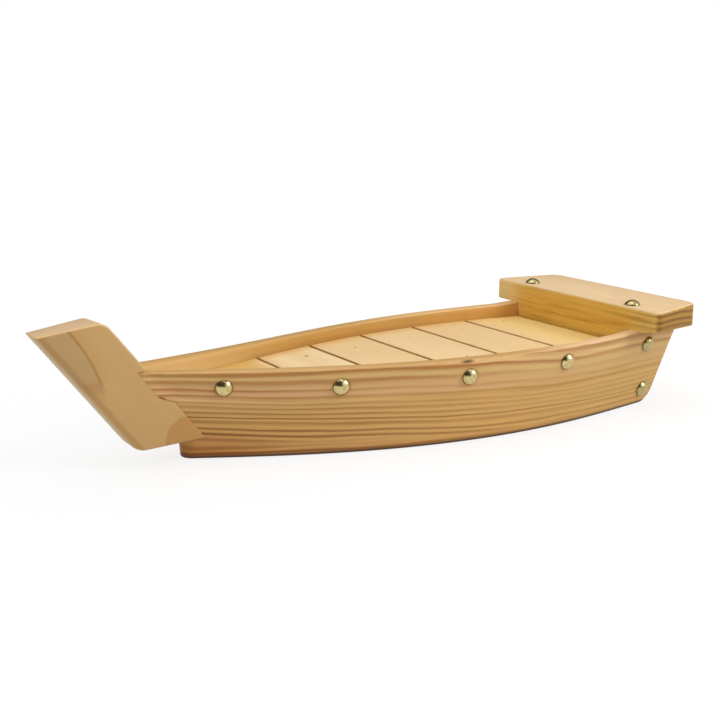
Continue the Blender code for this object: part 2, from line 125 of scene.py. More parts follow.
# Rounding, smoothing and cleaning of edges
EASE_SEGMENTS = 4
BOARD_SEGMENTS = 3
CORNER_SEGMENTS = 8
EASE_ANGLE = math.radians(50.0)
SMOOTH_ANGLE = math.radians(32.0)
WORN_LIT_WIDTH = 0.0008
WORN_LIT_ANGLE = math.radians(8.0)
SLIVER = 0.00005
LOOSE_STEP = 0.0002
NEARLY_ALONG = 0.9

SIDES = (("port", -1), ("starboard", 1))


# Lines of the hull, the stem and the stern

STEM_TOP_AT_NOSE = RIM_HEIGHT + STEM_RISE
STEM_NOSE_X = -OVERALL_LENGTH / 2.0
STEM_REAR_X = STEM_NOSE_X + STEM_DEPTH
RAKE = math.tan(STEM_RAKE)
TRANSOM_FRONT_X = OVERALL_LENGTH / 2.0 - SEAT_DEPTH
AFT_BOTTOM_X = TRANSOM_FRONT_X + PLANK_TAIL
SEAT_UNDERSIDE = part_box("stern_seat")[0].z
SURFACE_STEP = 0.0005


def raked(x, z):
    """Where a line that stands at x at the top of the nose has come to at height z."""
    return x + RAKE * (STEM_TOP_AT_NOSE - z)


FOOT_HEIGHT = STEM_BOTTOM_AT_NOSE + STEM_BOTTOM_SLOPE * PLANK_SETBACK / (1.0 + STEM_BOTTOM_SLOPE * RAKE)
FOOT_X = raked(STEM_NOSE_X + PLANK_SETBACK, FOOT_HEIGHT)
BOW_RIM_X = raked(STEM_REAR_X, RIM_HEIGHT)


def smooth_curve(stations, values):
    """Natural cubic curve through the values at the stations, for arrays of x."""
    stations, values = np.array(stations), np.array(values)
    count = len(stations)
    steps = np.diff(stations)
    system = np.eye(count)
    right = np.zeros(count)
    for i in range(1, count - 1):
        before, after = steps[i - 1], steps[i]
        system[i, i - 1:i + 2] = before, 2.0 * (before + after), after
        right[i] = 6.0 * ((values[i + 1] - values[i]) / after - (values[i] - values[i - 1]) / before)
    bends = np.linalg.solve(system, right)

    def curve(x):
        i = np.clip(np.searchsorted(stations, x) - 1, 0, count - 2)
        left, ahead = stations[i + 1] - x, x - stations[i]
        cubic = (bends[i] * left ** 3 + bends[i + 1] * ahead ** 3) / (6.0 * steps[i])
        line_left = (values[i] / steps[i] - bends[i] * steps[i] / 6.0) * left
        line_ahead = (values[i + 1] / steps[i] - bends[i + 1] * steps[i] / 6.0) * ahead
        return cubic + line_left + line_ahead

    return curve


MIDDLE_STATIONS = (FORE_STATION_X, MIDDLE_STATION_X, AFT_STATION_X)
rim_half_beam = smooth_curve((BOW_RIM_X, *MIDDLE_STATIONS, AFT_BOTTOM_X), RIM_HALF_BEAMS)
bottom_half_beam = smooth_curve((FOOT_X, *MIDDLE_STATIONS, AFT_BOTTOM_X), BOTTOM_HALF_BEAMS)


def rim_height(x):
    """The rim rises a little towards both ends, and meets the seat."""
    bow = BOW_SHEER * (x / BOW_RIM_X) ** 2
    stern = STERN_SHEER * (x / TRANSOM_FRONT_X) ** 2
    height = RIM_HEIGHT + np.where(x < 0.0, bow, stern)
    reach = np.clip((x - TRANSOM_FRONT_X) / RIM_FIT_LENGTH + 1.0, 0.0, 1.0)
    return height + (SEAT_UNDERSIDE - GLUE_LINE - height) * reach ** 2 * (3.0 - 2.0 * reach)


def hull_half(x, z):
    """Half beam of the planks' outer faces."""
    bottom = bottom_half_beam(x)
    return bottom + (rim_half_beam(x) - bottom) * z / rim_height(x)


def slant(x, z):
    """How much longer the way through a plank is across the boat than square to the plank."""
    step = SURFACE_STEP
    along = (hull_half(x + step, z) - hull_half(x - step, z)) / (2.0 * step)
    upward = (hull_half(x, z + step) - hull_half(x, z - step)) / (2.0 * step)
    return np.sqrt(1.0 + along ** 2 + upward ** 2)


def inner_half(x, z):
    """Half beam of the planks' inner faces."""
    return hull_half(x, z) - PLANK_THICKNESS * slant(x, z)


def plank_front(z):
    """Where the planks begin: upright at the foot, raked like the stem above it."""
    return FOOT_X - RAKE * np.maximum(0.0, z - FOOT_HEIGHT)


def plank_aft(z):
    """Where the planks end: on a raked line, with a round lower corner."""
    line = AFT_BOTTOM_X + math.tan(AFT_RAKE) * z
    drop = np.clip(AFT_CORNER_RADIUS - z, 0.0, AFT_CORNER_RADIUS)
    return line - AFT_CORNER_RADIUS + np.sqrt(AFT_CORNER_RADIUS ** 2 - drop ** 2)


def behind_nose(x, z):
    """How far a place lies behind the raked front of the stem."""
    return x - raked(STEM_NOSE_X, z)


STEM_SEAM = np.array(raked(STEM_REAR_X, RIM_HEIGHT / 2.0))
STEM_REAR_HALF_WIDTH = float(hull_half(STEM_SEAM, RIM_HEIGHT / 2.0)) + JOINT_GAP + STEM_CHEEK


def stem_half(back):
    """Half width of the stem, this far behind its nose."""
    share = np.clip(back / STEM_DEPTH, 0.0, 1.0)
    return STEM_NOSE_HALF_WIDTH + (STEM_REAR_HALF_WIDTH - STEM_NOSE_HALF_WIDTH) * share


def lap_foot(back):
    """Lowest height at which the planks come out of the stem's cheeks and lie flush with them."""
    return LAP_HEIGHT - LAP_SLOPE * (back - LAP_SETBACK)


# Bench work: blanks, cuts, eased edges


def blank(name, low, high):
    """A squared block between two corners, ready to be shaped."""
    low, high = Vector(low), Vector(high)
    bpy.ops.object.select_all(action="DESELECT")
    bpy.ops.mesh.primitive_cube_add(size=1.0, location=(low + high) / 2.0, scale=high - low)
    piece = bpy.context.object
    piece.name = piece.data.name = name
    bpy.ops.object.transform_apply(location=True, rotation=True, scale=True)
    return piece


def edit(piece):
    bpy.context.view_layer.objects.active = piece
    bpy.ops.object.mode_set(mode="EDIT")


def leave_edit():
    bpy.ops.object.mode_set(mode="OBJECT")


def pick_all():
    bpy.ops.mesh.select_all(action="SELECT")


def pick(piece, kind, test):
    """In edit mode, selects the vertices, edges or faces that pass the test and nothing else."""
    bpy.ops.mesh.select_mode(type={"verts": "VERT", "edges": "EDGE", "faces": "FACE"}[kind])
    bpy.ops.mesh.select_all(action="DESELECT")
    bm = bmesh.from_edit_mesh(piece.data)
    for item in getattr(bm, kind):
        item.select_set(bool(test(item)))
    bm.select_flush_mode()
    bmesh.update_edit_mesh(piece.data)


def edge_run(edge, axis):
    """How far an edge runs along an axis, 0 if it runs across it."""
    way = edge.verts[1].co - edge.verts[0].co
    run = abs(way[axis])
    return run if run > NEARLY_ALONG * way.length else 0.0


def divide(piece, axis, least, cuts):
    """Cuts every long edge along an axis into equal lengths."""
    pick(piece, "edges", lambda e: edge_run(e, axis) > least)
    bpy.ops.mesh.subdivide(number_cuts=cuts)


def round_picked(radius, segments):
    bpy.ops.mesh.bevel(offset=radius, segments=segments, affect="EDGES", clamp_overlap=False)


def draw_out(steps):
    """Draws the picked face down in steps, each with its drop and the width that it then keeps."""
    for drop, width in steps:
        bpy.ops.mesh.extrude_region_move(TRANSFORM_OT_translate={"value": (0.0, 0.0, -drop)})
        bpy.ops.transform.resize(value=(width, width, 1.0), center_override=(0.0, 0.0, 0.0))


def apply_last(piece):
    bpy.context.view_layer.objects.active = piece
    bpy.ops.object.modifier_apply(modifier=piece.modifiers[-1].name)


def clear_slivers(piece):
    """Merges the hair-thin faces and the stray points that cuts and eased edges leave."""
    edit(piece)
    pick_all()
    bpy.ops.mesh.remove_doubles(threshold=SLIVER)
    bpy.ops.mesh.dissolve_degenerate(threshold=SLIVER)
    pick(piece, "verts", lambda v: len(v.link_edges) == 2 and min(
        e.calc_length() for e in v.link_edges) < LOOSE_STEP)
    bpy.ops.mesh.dissolve_verts()
    leave_edit()


def ease_edges(piece, width, segments=EASE_SEGMENTS, weighed=False):
    """Rounds the sharp edges, all alike or each by its own weight."""
    bevel = piece.modifiers.new("eased", "BEVEL")
    bevel.width = width
    bevel.segments = segments
    bevel.limit_method = "WEIGHT" if weighed else "ANGLE"
    bevel.use_clamp_overlap = not weighed
    bevel.angle_limit = EASE_ANGLE
    apply_last(piece)
    clear_slivers(piece)


def cut_out(piece, cutter):
    """Cuts the shape of another piece out of this one, and clears the cutter away."""
    boolean = piece.modifiers.new("slot", "BOOLEAN")
    boolean.operation = "DIFFERENCE"
    boolean.solver = "EXACT"
    boolean.object = cutter
    apply_last(piece)
    bpy.data.objects.remove(cutter, do_unlink=True)
    clear_slivers(piece)


def points_of(piece):
    points = np.empty(len(piece.data.vertices) * 3)
    piece.data.vertices.foreach_get("co", points)
    return points.reshape(-1, 3)


def set_points(piece, *places):
    """Moves every point to its new place, given as x, y and z."""
    piece.data.vertices.foreach_set("co", np.stack(places, axis=1).ravel())
    piece.data.update()


def face_outwards(piece):
    edit(piece)
    pick_all()
    bpy.ops.mesh.normals_make_consistent(inside=False)
    leave_edit()


def note_points(piece, name, values):
    """Keeps a number at each point for the finish to read."""
    note = piece.data.attributes.new(name, "FLOAT", "POINT")
    note.data.foreach_set("value", np.asarray(values, np.float32))


def lay_grain(piece, along, across, through):
    """Keeps, at each point, its place in the wood: along the grain, across it, and through."""
    grain = piece.data.attributes.new("grain", "FLOAT_VECTOR", "POINT")
    grain.data.foreach_set("vector", np.stack((along, across, through), axis=1).astype(np.float32).ravel())


def mark_worn_lit_edges(piece):
    """Marks the narrow faces of rounded edges, where hands and cloths wear the wood, and where the planks and
    the stem get a painted highlight.
    """
    bm = bmesh.new()
    bm.from_mesh(piece.data)
    worn_lit = []
    for face in bm.faces:
        narrow = face.calc_area() < WORN_LIT_WIDTH * max(e.calc_length() for e in face.edges)
        turned = max(e.calc_face_angle(0.0) for e in face.edges) > WORN_LIT_ANGLE
        worn_lit.append(1.0 if narrow and turned else 0.0)
    bm.free()
    marks = piece.data.attributes.new("worn_lit", "FLOAT", "FACE")
    marks.data.foreach_set("value", worn_lit)


def dress(piece, material, slot, *nodes):
    """Smooths a finished piece, gives it its finish and sets it on the frame for its solids."""
    bpy.ops.object.select_all(action="DESELECT")
    piece.select_set(True)
    bpy.context.view_layer.objects.active = piece
    bpy.ops.object.shade_smooth_by_angle(angle=SMOOTH_ANGLE)
    piece.data.materials.clear()
    piece.data.materials.append(material)
    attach(piece, "root")
    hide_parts(*nodes)


# Shader helpers. Shader lengths are in millimetres.

MILLIMETRES = (1000.0, 1000.0, 1000.0)
UP = (0.0, 0.0, 1.0)
PORT = (0.0, -1.0, 0.0)
NOSE_WAY = (-math.cos(STEM_RAKE), 0.0, -math.sin(STEM_RAKE))


def srgb(red, green, blue):
    """A colour as the eye names it, 0 to 255, turned into the light that it reflects."""
    def linear(level):
        level = level / 255.0
        return level / 12.92 if level <= 0.04045 else ((level + 0.055) / 1.055) ** 2.4

    return linear(red), linear(green), linear(blue), 1.0


def grey(level):
    return level, level, level, 1.0


def new_finish(name):
    material = bpy.data.materials.new(name)
    material.use_nodes = True
    return material, material.node_tree, material.node_tree.nodes["Principled BSDF"]


def feed(tree, socket, value):
    """Links an output to a socket, or sets a plain number or colour on it."""
    if isinstance(value, bpy.types.NodeSocket):
        tree.links.new(value, socket)
    else:
        socket.default_value = value


def sums(tree, operation, *values):
    node = tree.nodes.new("ShaderNodeMath")
    node.operation = operation
    for socket, value in zip(node.inputs, values):
        feed(tree, socket, value)
    return node.outputs[0]


def times(tree, first, *others):
    product = first
    for other in others:
        product = sums(tree, "MULTIPLY", product, other)
    return product


def rest_of(tree, share):
    return sums(tree, "SUBTRACT", 1.0, share)


def split(tree, vector):
    node = tree.nodes.new("ShaderNodeSeparateXYZ")
    tree.links.new(vector, node.inputs[0])
    return node.outputs


def stretch(tree, vector, scales):
    node = tree.nodes.new("ShaderNodeVectorMath")
    node.operation = "MULTIPLY"
    feed(tree, node.inputs[0], vector)
    node.inputs[1].default_value = scales
    return node.outputs[0]


def object_place(tree):
    return tree.nodes.new("ShaderNodeTexCoord").outputs["Object"]


def place_on_boat(tree):
    """The place on the boat in millimetres, as x, y and z."""
    return split(tree, stretch(tree, object_place(tree), MILLIMETRES))


def attribute(tree, name, output="Fac"):
    node = tree.nodes.new("ShaderNodeAttribute")
    node.attribute_name = name
    return node.outputs[output]


def facing(tree, way):
    """How far a face is turned towards a direction, -1 to 1."""
    node = tree.nodes.new("ShaderNodeVectorMath")
    node.operation = "DOT_PRODUCT"
    tree.links.new(tree.nodes.new("ShaderNodeNewGeometry").outputs["Normal"], node.inputs[0])
    node.inputs[1].default_value = way
    return node.outputs["Value"]


def from_centre(tree, places, centre, radii):
    """Distance from a centre, 1 all along an ellipse of these radii."""
    total = 0.0
    for place, middle, radius in zip(places, centre, radii):
        way = sums(tree, "DIVIDE", sums(tree, "SUBTRACT", place, middle), radius)
        total = sums(tree, "MULTIPLY_ADD", way, way, total)
    return sums(tree, "SQRT", total)


def noise(tree, vector, scales, detail=2.0, roughness=0.5):
    """Soft noise, 0 to 1, with its own scale along each axis."""
    node = tree.nodes.new("ShaderNodeTexNoise")
    feed(tree, node.inputs["Vector"], stretch(tree, vector, scales))
    node.inputs["Scale"].default_value = 1.0
    node.inputs["Detail"].default_value = detail
    node.inputs["Roughness"].default_value = roughness
    return node.outputs[0]


def noise_along(tree, place):
    """Soft noise, 0 to 1, along one line."""
    node = tree.nodes.new("ShaderNodeTexNoise")
    node.noise_dimensions = "1D"
    feed(tree, node.inputs["W"], place)
    node.inputs["Scale"].default_value = 1.0
    node.inputs["Detail"].default_value = 1.0
    return node.outputs[0]


def ease_between(tree, value, low, high, at_low=0.0, at_high=1.0):
    """Passes smoothly from one number to another while a value goes from low to high."""
    node = tree.nodes.new("ShaderNodeMapRange")
    node.interpolation_type = "SMOOTHSTEP"
    feed(tree, node.inputs["Value"], value)
    for name, number in (("From Min", low), ("From Max", high), ("To Min", at_low), ("To Max", at_high)):
        node.inputs[name].default_value = number
    return node.outputs[0]


def mix(tree, share, first, second, blend="MIX"):
    node = tree.nodes.new("ShaderNodeMix")
    node.data_type = "RGBA"
    node.blend_type = blend
    feed(tree, node.inputs[0], share)
    feed(tree, node.inputs[6], first)
    feed(tree, node.inputs[7], second)
    return node.outputs[2]


def overlay(tree, colour, *layers):
    """Lays colours over a colour one after the other, each by its own share."""
    for share, shade in layers:
        colour = mix(tree, share, colour, shade)
    return colour


def darken_by(tree, colour, *layers):
    """Darkens a colour by multiplying, each layer by its own share; the planks use it for a tint and for
    painted shade.
    """
    for share, shade in layers:
        colour = mix(tree, share, colour, shade, "MULTIPLY")
    return colour


def ramp(tree, value, stops):
    node = tree.nodes.new("ShaderNodeValToRGB")
    node.color_ramp.interpolation = "EASE"
    elements = node.color_ramp.elements
    while len(elements) < len(stops):
        elements.new(0.5)
    for element, (place, level) in zip(elements, stops):
        element.position = place
        element.color = grey(level)
    feed(tree, node.inputs[0], value)
    return node.outputs[0]


def set_relief(tree, shader, height, strength, depth):
    relief = tree.nodes.new("ShaderNodeBump")
    relief.inputs["Strength"].default_value = strength
    relief.inputs["Distance"].default_value = depth
    tree.links.new(height, relief.inputs["Height"])
    tree.links.new(relief.outputs[0], shader.inputs["Normal"])


def blend_shaders(tree, share, first, second, output):
    node = tree.nodes.new("ShaderNodeMixShader")
    feed(tree, node.inputs[0], share)
    tree.links.new(first.outputs[0], node.inputs[1])
    tree.links.new(second.outputs[0], node.inputs[2])
    tree.links.new(node.outputs[0], tree.nodes[output].inputs["Surface"])


# Pine: growth rings round a pith, soft broad tones and fine fibres. The scales are per millimetre,
# along the grain, across it and through.

LATEWOOD = ((0.0, 0.45), (0.10, 0.08), (0.32, 0.0), (0.54, 0.40), (0.72, 0.92), (0.90, 1.0), (1.0, 0.45))
DRIFT_SCALES = (0.014, 0.06, 0.06)
FIBRE_SCALES = (0.05, 2.4, 2.4)
STRAND_SCALES = (0.018, 0.8, 0.8)
TONE_SCALES = (0.010, 0.035, 0.035)
WEAR_SCALES = (0.09, 0.3, 0.3)
RING_SCALE = 0.13
FADE_SCALE = 0.014
FADE_RING_STEP = 3.7
STRAND_WEIGHT = 1.6
MEAN_FIBRES = 1.3
ROUGHNESS_SPREAD = 0.18
LINE_POLISH = 0.08
WOOD_RELIEF = 0.00025


def per_ring(tree, ring, shift):
    """A chance value, 0 to 1, the same along the whole of one growth ring."""
    node = tree.nodes.new("ShaderNodeTexWhiteNoise")
    node.noise_dimensions = "1D"
    feed(tree, node.inputs["W"], sums(tree, "ADD", ring, shift))
    return node.outputs["Value"]


class Pine:
    """The grain of one kind of board, built in a material's node tree."""

    def __init__(self, tree, pith, ring_width, wave, jitter, drift=DRIFT_SCALES):
        self.tree = tree
        self.grain = stretch(tree, attribute(tree, "grain", "Vector"), MILLIMETRES)
        self.along, self.across, self.through = split(tree, self.grain)
        swing = sums(tree, "SUBTRACT", noise(tree, self.grain, drift), 0.5)
        across = sums(tree, "MULTIPLY_ADD", swing, wave, self.across)
        radius = from_centre(tree, (across, self.through), pith, (1.0, 1.0))
        uneven = noise_along(tree, times(tree, radius, RING_SCALE))
        turns = sums(tree, "MULTIPLY_ADD", uneven, jitter, sums(tree, "DIVIDE", radius, ring_width))
        self.ring = sums(tree, "FLOOR", turns)
        latewood = ramp(tree, sums(tree, "FRACT", turns), LATEWOOD)
        strength = sums(tree, "MULTIPLY_ADD", per_ring(tree, self.ring, 0.5), 0.6, 0.45)
        fading = sums(tree, "MULTIPLY_ADD", self.fading(), 0.9, 0.45)
        self.lines = times(tree, latewood, strength, fading)
        self.fibre = noise(tree, self.grain, FIBRE_SCALES, detail=3.0, roughness=0.6)
        self.strand = noise(tree, self.grain, STRAND_SCALES)
        self.tone = noise(tree, self.grain, TONE_SCALES)

    def fading(self):
        """Noise along each ring by itself, so that a line fades in and out on its own."""
        node = self.tree.nodes.new("ShaderNodeCombineXYZ")
        feed(self.tree, node.inputs[0], times(self.tree, self.along, FADE_SCALE))
        feed(self.tree, node.inputs[1], times(self.tree, self.ring, FADE_RING_STEP))
        return noise(self.tree, node.outputs[0], (1.0, 1.0, 1.0), detail=1.0)

    def colour(self, pale, dark, warm, line_share, tone_share=0.5, fibre_share=0.16, darkest=1.0):
        """Pale wood with warmer clouds, dark ring lines and fine fibres."""
        tree = self.tree
        base = mix(tree, times(tree, self.tone, tone_share), pale, warm)
        lines = sums(tree, "MINIMUM", times(tree, self.lines, line_share), darkest)
        lined = mix(tree, lines, base, dark)
        fibres = sums(tree, "MULTIPLY_ADD", self.strand, STRAND_WEIGHT, self.fibre)
        shade = sums(tree, "MULTIPLY_ADD", fibres, fibre_share, 1.0 - MEAN_FIBRES * fibre_share)
        return mix(tree, 1.0, lined, shade, "MULTIPLY")

    def finish(self, shader, colour, wear_and_highlight_colour, roughness=0.52, bump=0.25, wear_and_highlight_share=0.55, gloss=0.35):
        """Wears the edges patchily, which on the planks towards the stern and on the stem is also a painted
        highlight, and lets the lines be smoother and stand out a little.
        """
        tree = self.tree
        patchy = ease_between(tree, noise(tree, self.grain, WEAR_SCALES, detail=3.0), 0.35, 0.75)
        worn_lit = times(tree, attribute(tree, "worn_lit"), patchy, wear_and_highlight_share)
        tree.links.new(mix(tree, worn_lit, colour, wear_and_highlight_colour), shader.inputs["Base Color"])
        rough = sums(tree, "MULTIPLY_ADD", self.fibre, ROUGHNESS_SPREAD, roughness - ROUGHNESS_SPREAD / 2.0)
        rough = sums(tree, "MULTIPLY_ADD", self.lines, -LINE_POLISH, rough)
        tree.links.new(rough, shader.inputs["Roughness"])
        height = times(tree, sums(tree, "ADD", self.fibre, self.lines), 0.5)
        set_relief(tree, shader, height, bump, WOOD_RELIEF)
        shader.inputs["Specular IOR Level"].default_value = gloss


# Finish of the planks: heights and places along the boat are in millimetres

RING_WIDTH = 0.004
RIM_KNOT = (24.0, -66.6, 50.6)
RIM_KNOT_RADII = (6.2, 3.0, 1.7)
KNOT_BROWN = srgb(84, 42, 8)
LOW_WOOD, HIGH_WOOD, WARM_WOOD = srgb(224, 174, 103), srgb(242, 197, 138), srgb(214, 164, 90)
LOW_LINES, HIGH_LINES, RED_LINES = srgb(130, 74, 14), srgb(168, 100, 26), srgb(192, 112, 58)
PINK_RINGS, GREEN_RINGS = srgb(216, 160, 118), srgb(206, 172, 98)
INSIDE_BOW, INSIDE_MIDDLE, INSIDE_STERN = srgb(214, 174, 103), srgb(189, 141, 58), srgb(203, 145, 56)
INSIDE_LINES, DECK_SHADE = srgb(166, 112, 48), srgb(172, 118, 52)
FAR_RIM_MIDDLE, FAR_RIM_STERN = srgb(198, 154, 86), srgb(228, 184, 126)
# Tones of the near rim's top; towards the stern it is lighter, a painted highlight.
RIM_BOW, RIM_MIDDLE, RIM_STERN_HIGHLIGHT = srgb(209, 164, 103), srgb(202, 156, 91), srgb(236, 194, 144)
# A tint towards the stern, then painted shade at the bow's foot and in a band low down.
STERN_STAIN, BOW_FOOT_SHADE, LOW_BAND_SHADE = srgb(244, 249, 245), srgb(233, 206, 139), srgb(243, 212, 188)
# Painted shade on the planks' rounded bottom edge.
BOTTOM_EDGE_SHADE = srgb(62, 38, 20)


class PlankZones:
    """Shares, mostly 0 to 1, that say which part of a plank a place belongs to."""

    def __init__(self, tree, pine):
        self.place = place_on_boat(tree)
        self.height = attribute(tree, "height")
        self.high = ease_between(tree, self.height, 28.0, 40.0)
        self.outside = ease_between(tree, pine.through, 1.5, 6.0, 1.0, 0.22)
        self.inside = ease_between(tree, pine.through, 3.0, 7.5, 0.0, 0.85)
        self.upward = ease_between(tree, facing(tree, UP), 0.35, 0.85)
        self.far = ease_between(tree, self.place[1], -20.0, 20.0)
        self.near = rest_of(tree, self.far)


def plank_lines(tree, pine, zone):
    """How strong the ring lines are: bold high up at the bow, faint where the rings turn back,
    inside the boat and behind the knot."""
    bow = ease_between(tree, pine.along, -110.0, 130.0, 1.0, 0.5)
    bold = times(tree, ease_between(tree, zone.height, 37.5, 43.0),
                 ease_between(tree, pine.along, -115.0, 110.0, 1.05, 0.4))
    straight = sums(tree, "MULTIPLY_ADD", attribute(tree, "turning"), -0.75, 1.0)
    behind_knot = times(tree, ease_between(tree, pine.along, 14.0, 32.0),
                        ease_between(tree, pine.along, 52.0, 68.0, 1.0, 0.0),
                        ease_between(tree, zone.height, 48.0, 49.2, 0.0, -0.65))
    return times(tree, bow, sums(tree, "ADD", bold, 1.0), straight, zone.outside,
                 sums(tree, "ADD", behind_knot, 1.0))


def plank_outside(tree, pine, zone):
    """Darker wood below, clear wood above, and single rings that are pinker, greener or redder."""
    line_share = plank_lines(tree, pine, zone)
    clear = mix(tree, zone.high, LOW_WOOD, HIGH_WOOD)
    dark = mix(tree, zone.high, LOW_LINES, HIGH_LINES)
    colour = pine.colour(clear, dark, WARM_WOOD, line_share, fibre_share=0.24, darkest=0.84)
    pale = times(tree, rest_of(tree, pine.lines), zone.outside,
                 sums(tree, "MULTIPLY_ADD", zone.high, 0.6, 0.4))
    pinkish = ease_between(tree, per_ring(tree, pine.ring, 11.3), 0.35, 0.8, 0.0, 0.45)
    greenish = ease_between(tree, per_ring(tree, pine.ring, 47.9), 0.55, 0.9, 0.0, 0.5)
    reddish = ease_between(tree, per_ring(tree, pine.ring, 31.7), 0.62, 0.70, 0.0, 0.4)
    colour = overlay(tree, colour,
                     (times(tree, pinkish, pale), PINK_RINGS),
                     (times(tree, greenish, pale), GREEN_RINGS),
                     (times(tree, reddish, pine.lines, line_share), RED_LINES))
    return darken_by(tree, colour, (ease_between(tree, pine.along, 30.0, 150.0), STERN_STAIN))


def plank_inside(tree, pine, zone):
    """Smooth wood with faint lines, and the top of the far rim."""
    tone = mix(tree, ease_between(tree, pine.along, -130.0, -10.0), INSIDE_BOW, INSIDE_MIDDLE)
    lines = times(tree, pine.lines, ease_between(tree, pine.along, -110.0, 0.0, 0.05, 0.22))
    tone = overlay(tree, tone, (ease_between(tree, pine.along, 60.0, 140.0), INSIDE_STERN),
                   (lines, INSIDE_LINES))
    rim = mix(tree, ease_between(tree, pine.along, 0.0, 110.0), FAR_RIM_MIDDLE, FAR_RIM_STERN)
    return mix(tree, zone.upward, tone, rim)


# The near rim's top: lighter towards the stern as a painted highlight.
def near_rim(tree, pine):
    tone = mix(tree, ease_between(tree, pine.along, -90.0, 30.0), RIM_BOW, RIM_MIDDLE)
    return overlay(tree, tone, (ease_between(tree, pine.along, 50.0, 110.0), RIM_STERN_HIGHLIGHT))


def shade_planks(tree, pine, zone, colour):
    """Painted shade along the deck, at the bow's foot, in a band low down and on the rounded bottom edge."""
    by_deck = times(tree, zone.inside, ease_between(tree, zone.height, 44.0, 47.5, 0.55, 0.0),
                    ease_between(tree, pine.along, -80.0, -60.0),
                    ease_between(tree, pine.along, 50.0, 120.0, 1.0, 0.4))
    by_bow = times(tree, ease_between(tree, pine.along, -128.0, -70.0, 1.0, 0.0),
                   ease_between(tree, zone.height, 0.0, 22.0, 0.9, 0.0))
    by_foot = times(tree, ease_between(tree, pine.along, -60.0, 40.0, 0.6, 0.3),
                    ease_between(tree, zone.height, 1.8, 6.5, 1.0, 0.0))
    colour = overlay(tree, colour, (by_deck, DECK_SHADE))
    # Painted shade at the bow's foot below the stem, and in a band low down, strongest towards the bow.
    colour = darken_by(tree, colour, (by_bow, BOW_FOOT_SHADE), (by_foot, LOW_BAND_SHADE))
    # Painted shade on the rounded bottom edge.
    return overlay(tree, colour, (ease_between(tree, zone.height, 1.0, 3.0, 0.95, 0.0), BOTTOM_EDGE_SHADE))


def plank_finish():
    """Strong straight rings outside, smooth inside, with painted shade at the bow's foot, low down and on the
    bottom edge, and a painted highlight on the near rim aft.
    """
    material, tree, shader = new_finish("plank_pine")
    pine = Pine(tree, pith=(-400.0, 60.0), ring_width=1000.0 * RING_WIDTH, wave=3.6, jitter=1.0)
    zone = PlankZones(tree, pine)
    rim_tone = near_rim(tree, pine)
    inside = sums(tree, "MAXIMUM", zone.inside, times(tree, zone.upward, zone.far, 0.85))
    colour = overlay(tree, plank_outside(tree, pine, zone),
                     (inside, plank_inside(tree, pine, zone)),
                     (times(tree, zone.upward, zone.near, 0.85), rim_tone))
    colour = shade_planks(tree, pine, zone, colour)
    knot = ease_between(tree, from_centre(tree, zone.place, RIM_KNOT, RIM_KNOT_RADII), 0.35, 1.2, 0.97, 0.0)
    colour = overlay(tree, colour, (knot, KNOT_BROWN))
    off_knot = sums(tree, "MAXIMUM", sums(tree, "MULTIPLY_ADD", knot, -2.0, 0.75), 0.0)
    # The near plank's rounded upper edges take the rim's tone: wear, and towards the stern a painted
    # highlight.
    pine.finish(shader, colour, rim_tone, wear_and_highlight_share=times(tree, off_knot, zone.near, zone.high))
    return material


# Finish of the stem: a streak bends down from the crown, with greyer wood in front of it

STREAK_PLACE = 103.6
STREAK_BEND = 164.5
STREAK_LEAN = 0.315
STREAK_ROUND = 14.0
GREY_FOOT = 53.0
NOSE_PLACE = -118.9
CROWN_EDGE_HEIGHTS = (75.0, 78.0)
WOBBLE_SCALES = (0.05, 0.12, 0.12)
HEEL_PATCH, HEEL_PATCH_RADII = (88.0, -94.0), (14.5, 13.8)
STEM_WOOD, STEM_LINES, STEM_WARM = srgb(212, 171, 110), srgb(184, 138, 84), srgb(206, 163, 103)
GREY_WOOD, GOLDEN_WOOD, RED_WOOD = srgb(186, 152, 104), srgb(200, 148, 80), srgb(178, 122, 74)
STREAK_BROWN = srgb(162, 112, 52)
PATCH_BROWN, PATCH_EDGE = srgb(192, 134, 64), srgb(150, 104, 54)
# A dark line beside the nose, and the nose's pale strip, a painted highlight.
NOSE_EDGE, NOSE_HIGHLIGHT = srgb(160, 114, 62), srgb(214, 184, 130)
# The crown's golden edge, a painted highlight, the crown's top, and the rounded edges, lightened as wear and
# a painted highlight.
CROWN_EDGE_HIGHLIGHT, CROWN_WOOD, STEM_WEAR_AND_HIGHLIGHT = srgb(234, 192, 132), srgb(220, 187, 146), srgb(226, 192, 140)


def behind_streak(tree, pine, wobble):
    """How far a place lies behind the streak, which is straight above its bend and leans back below."""
    below = sums(tree, "SUBTRACT", STREAK_BEND, pine.along)
    bent = sums(tree, "SQRT", sums(tree, "MULTIPLY_ADD", below, below, STREAK_ROUND ** 2))
    below = times(tree, sums(tree, "ADD", below, bent), 0.5)
    off = sums(tree, "ADD", sums(tree, "MULTIPLY_ADD", below, STREAK_LEAN, STREAK_PLACE), pine.across)
    return sums(tree, "MULTIPLY_ADD", wobble, 1.4, off)


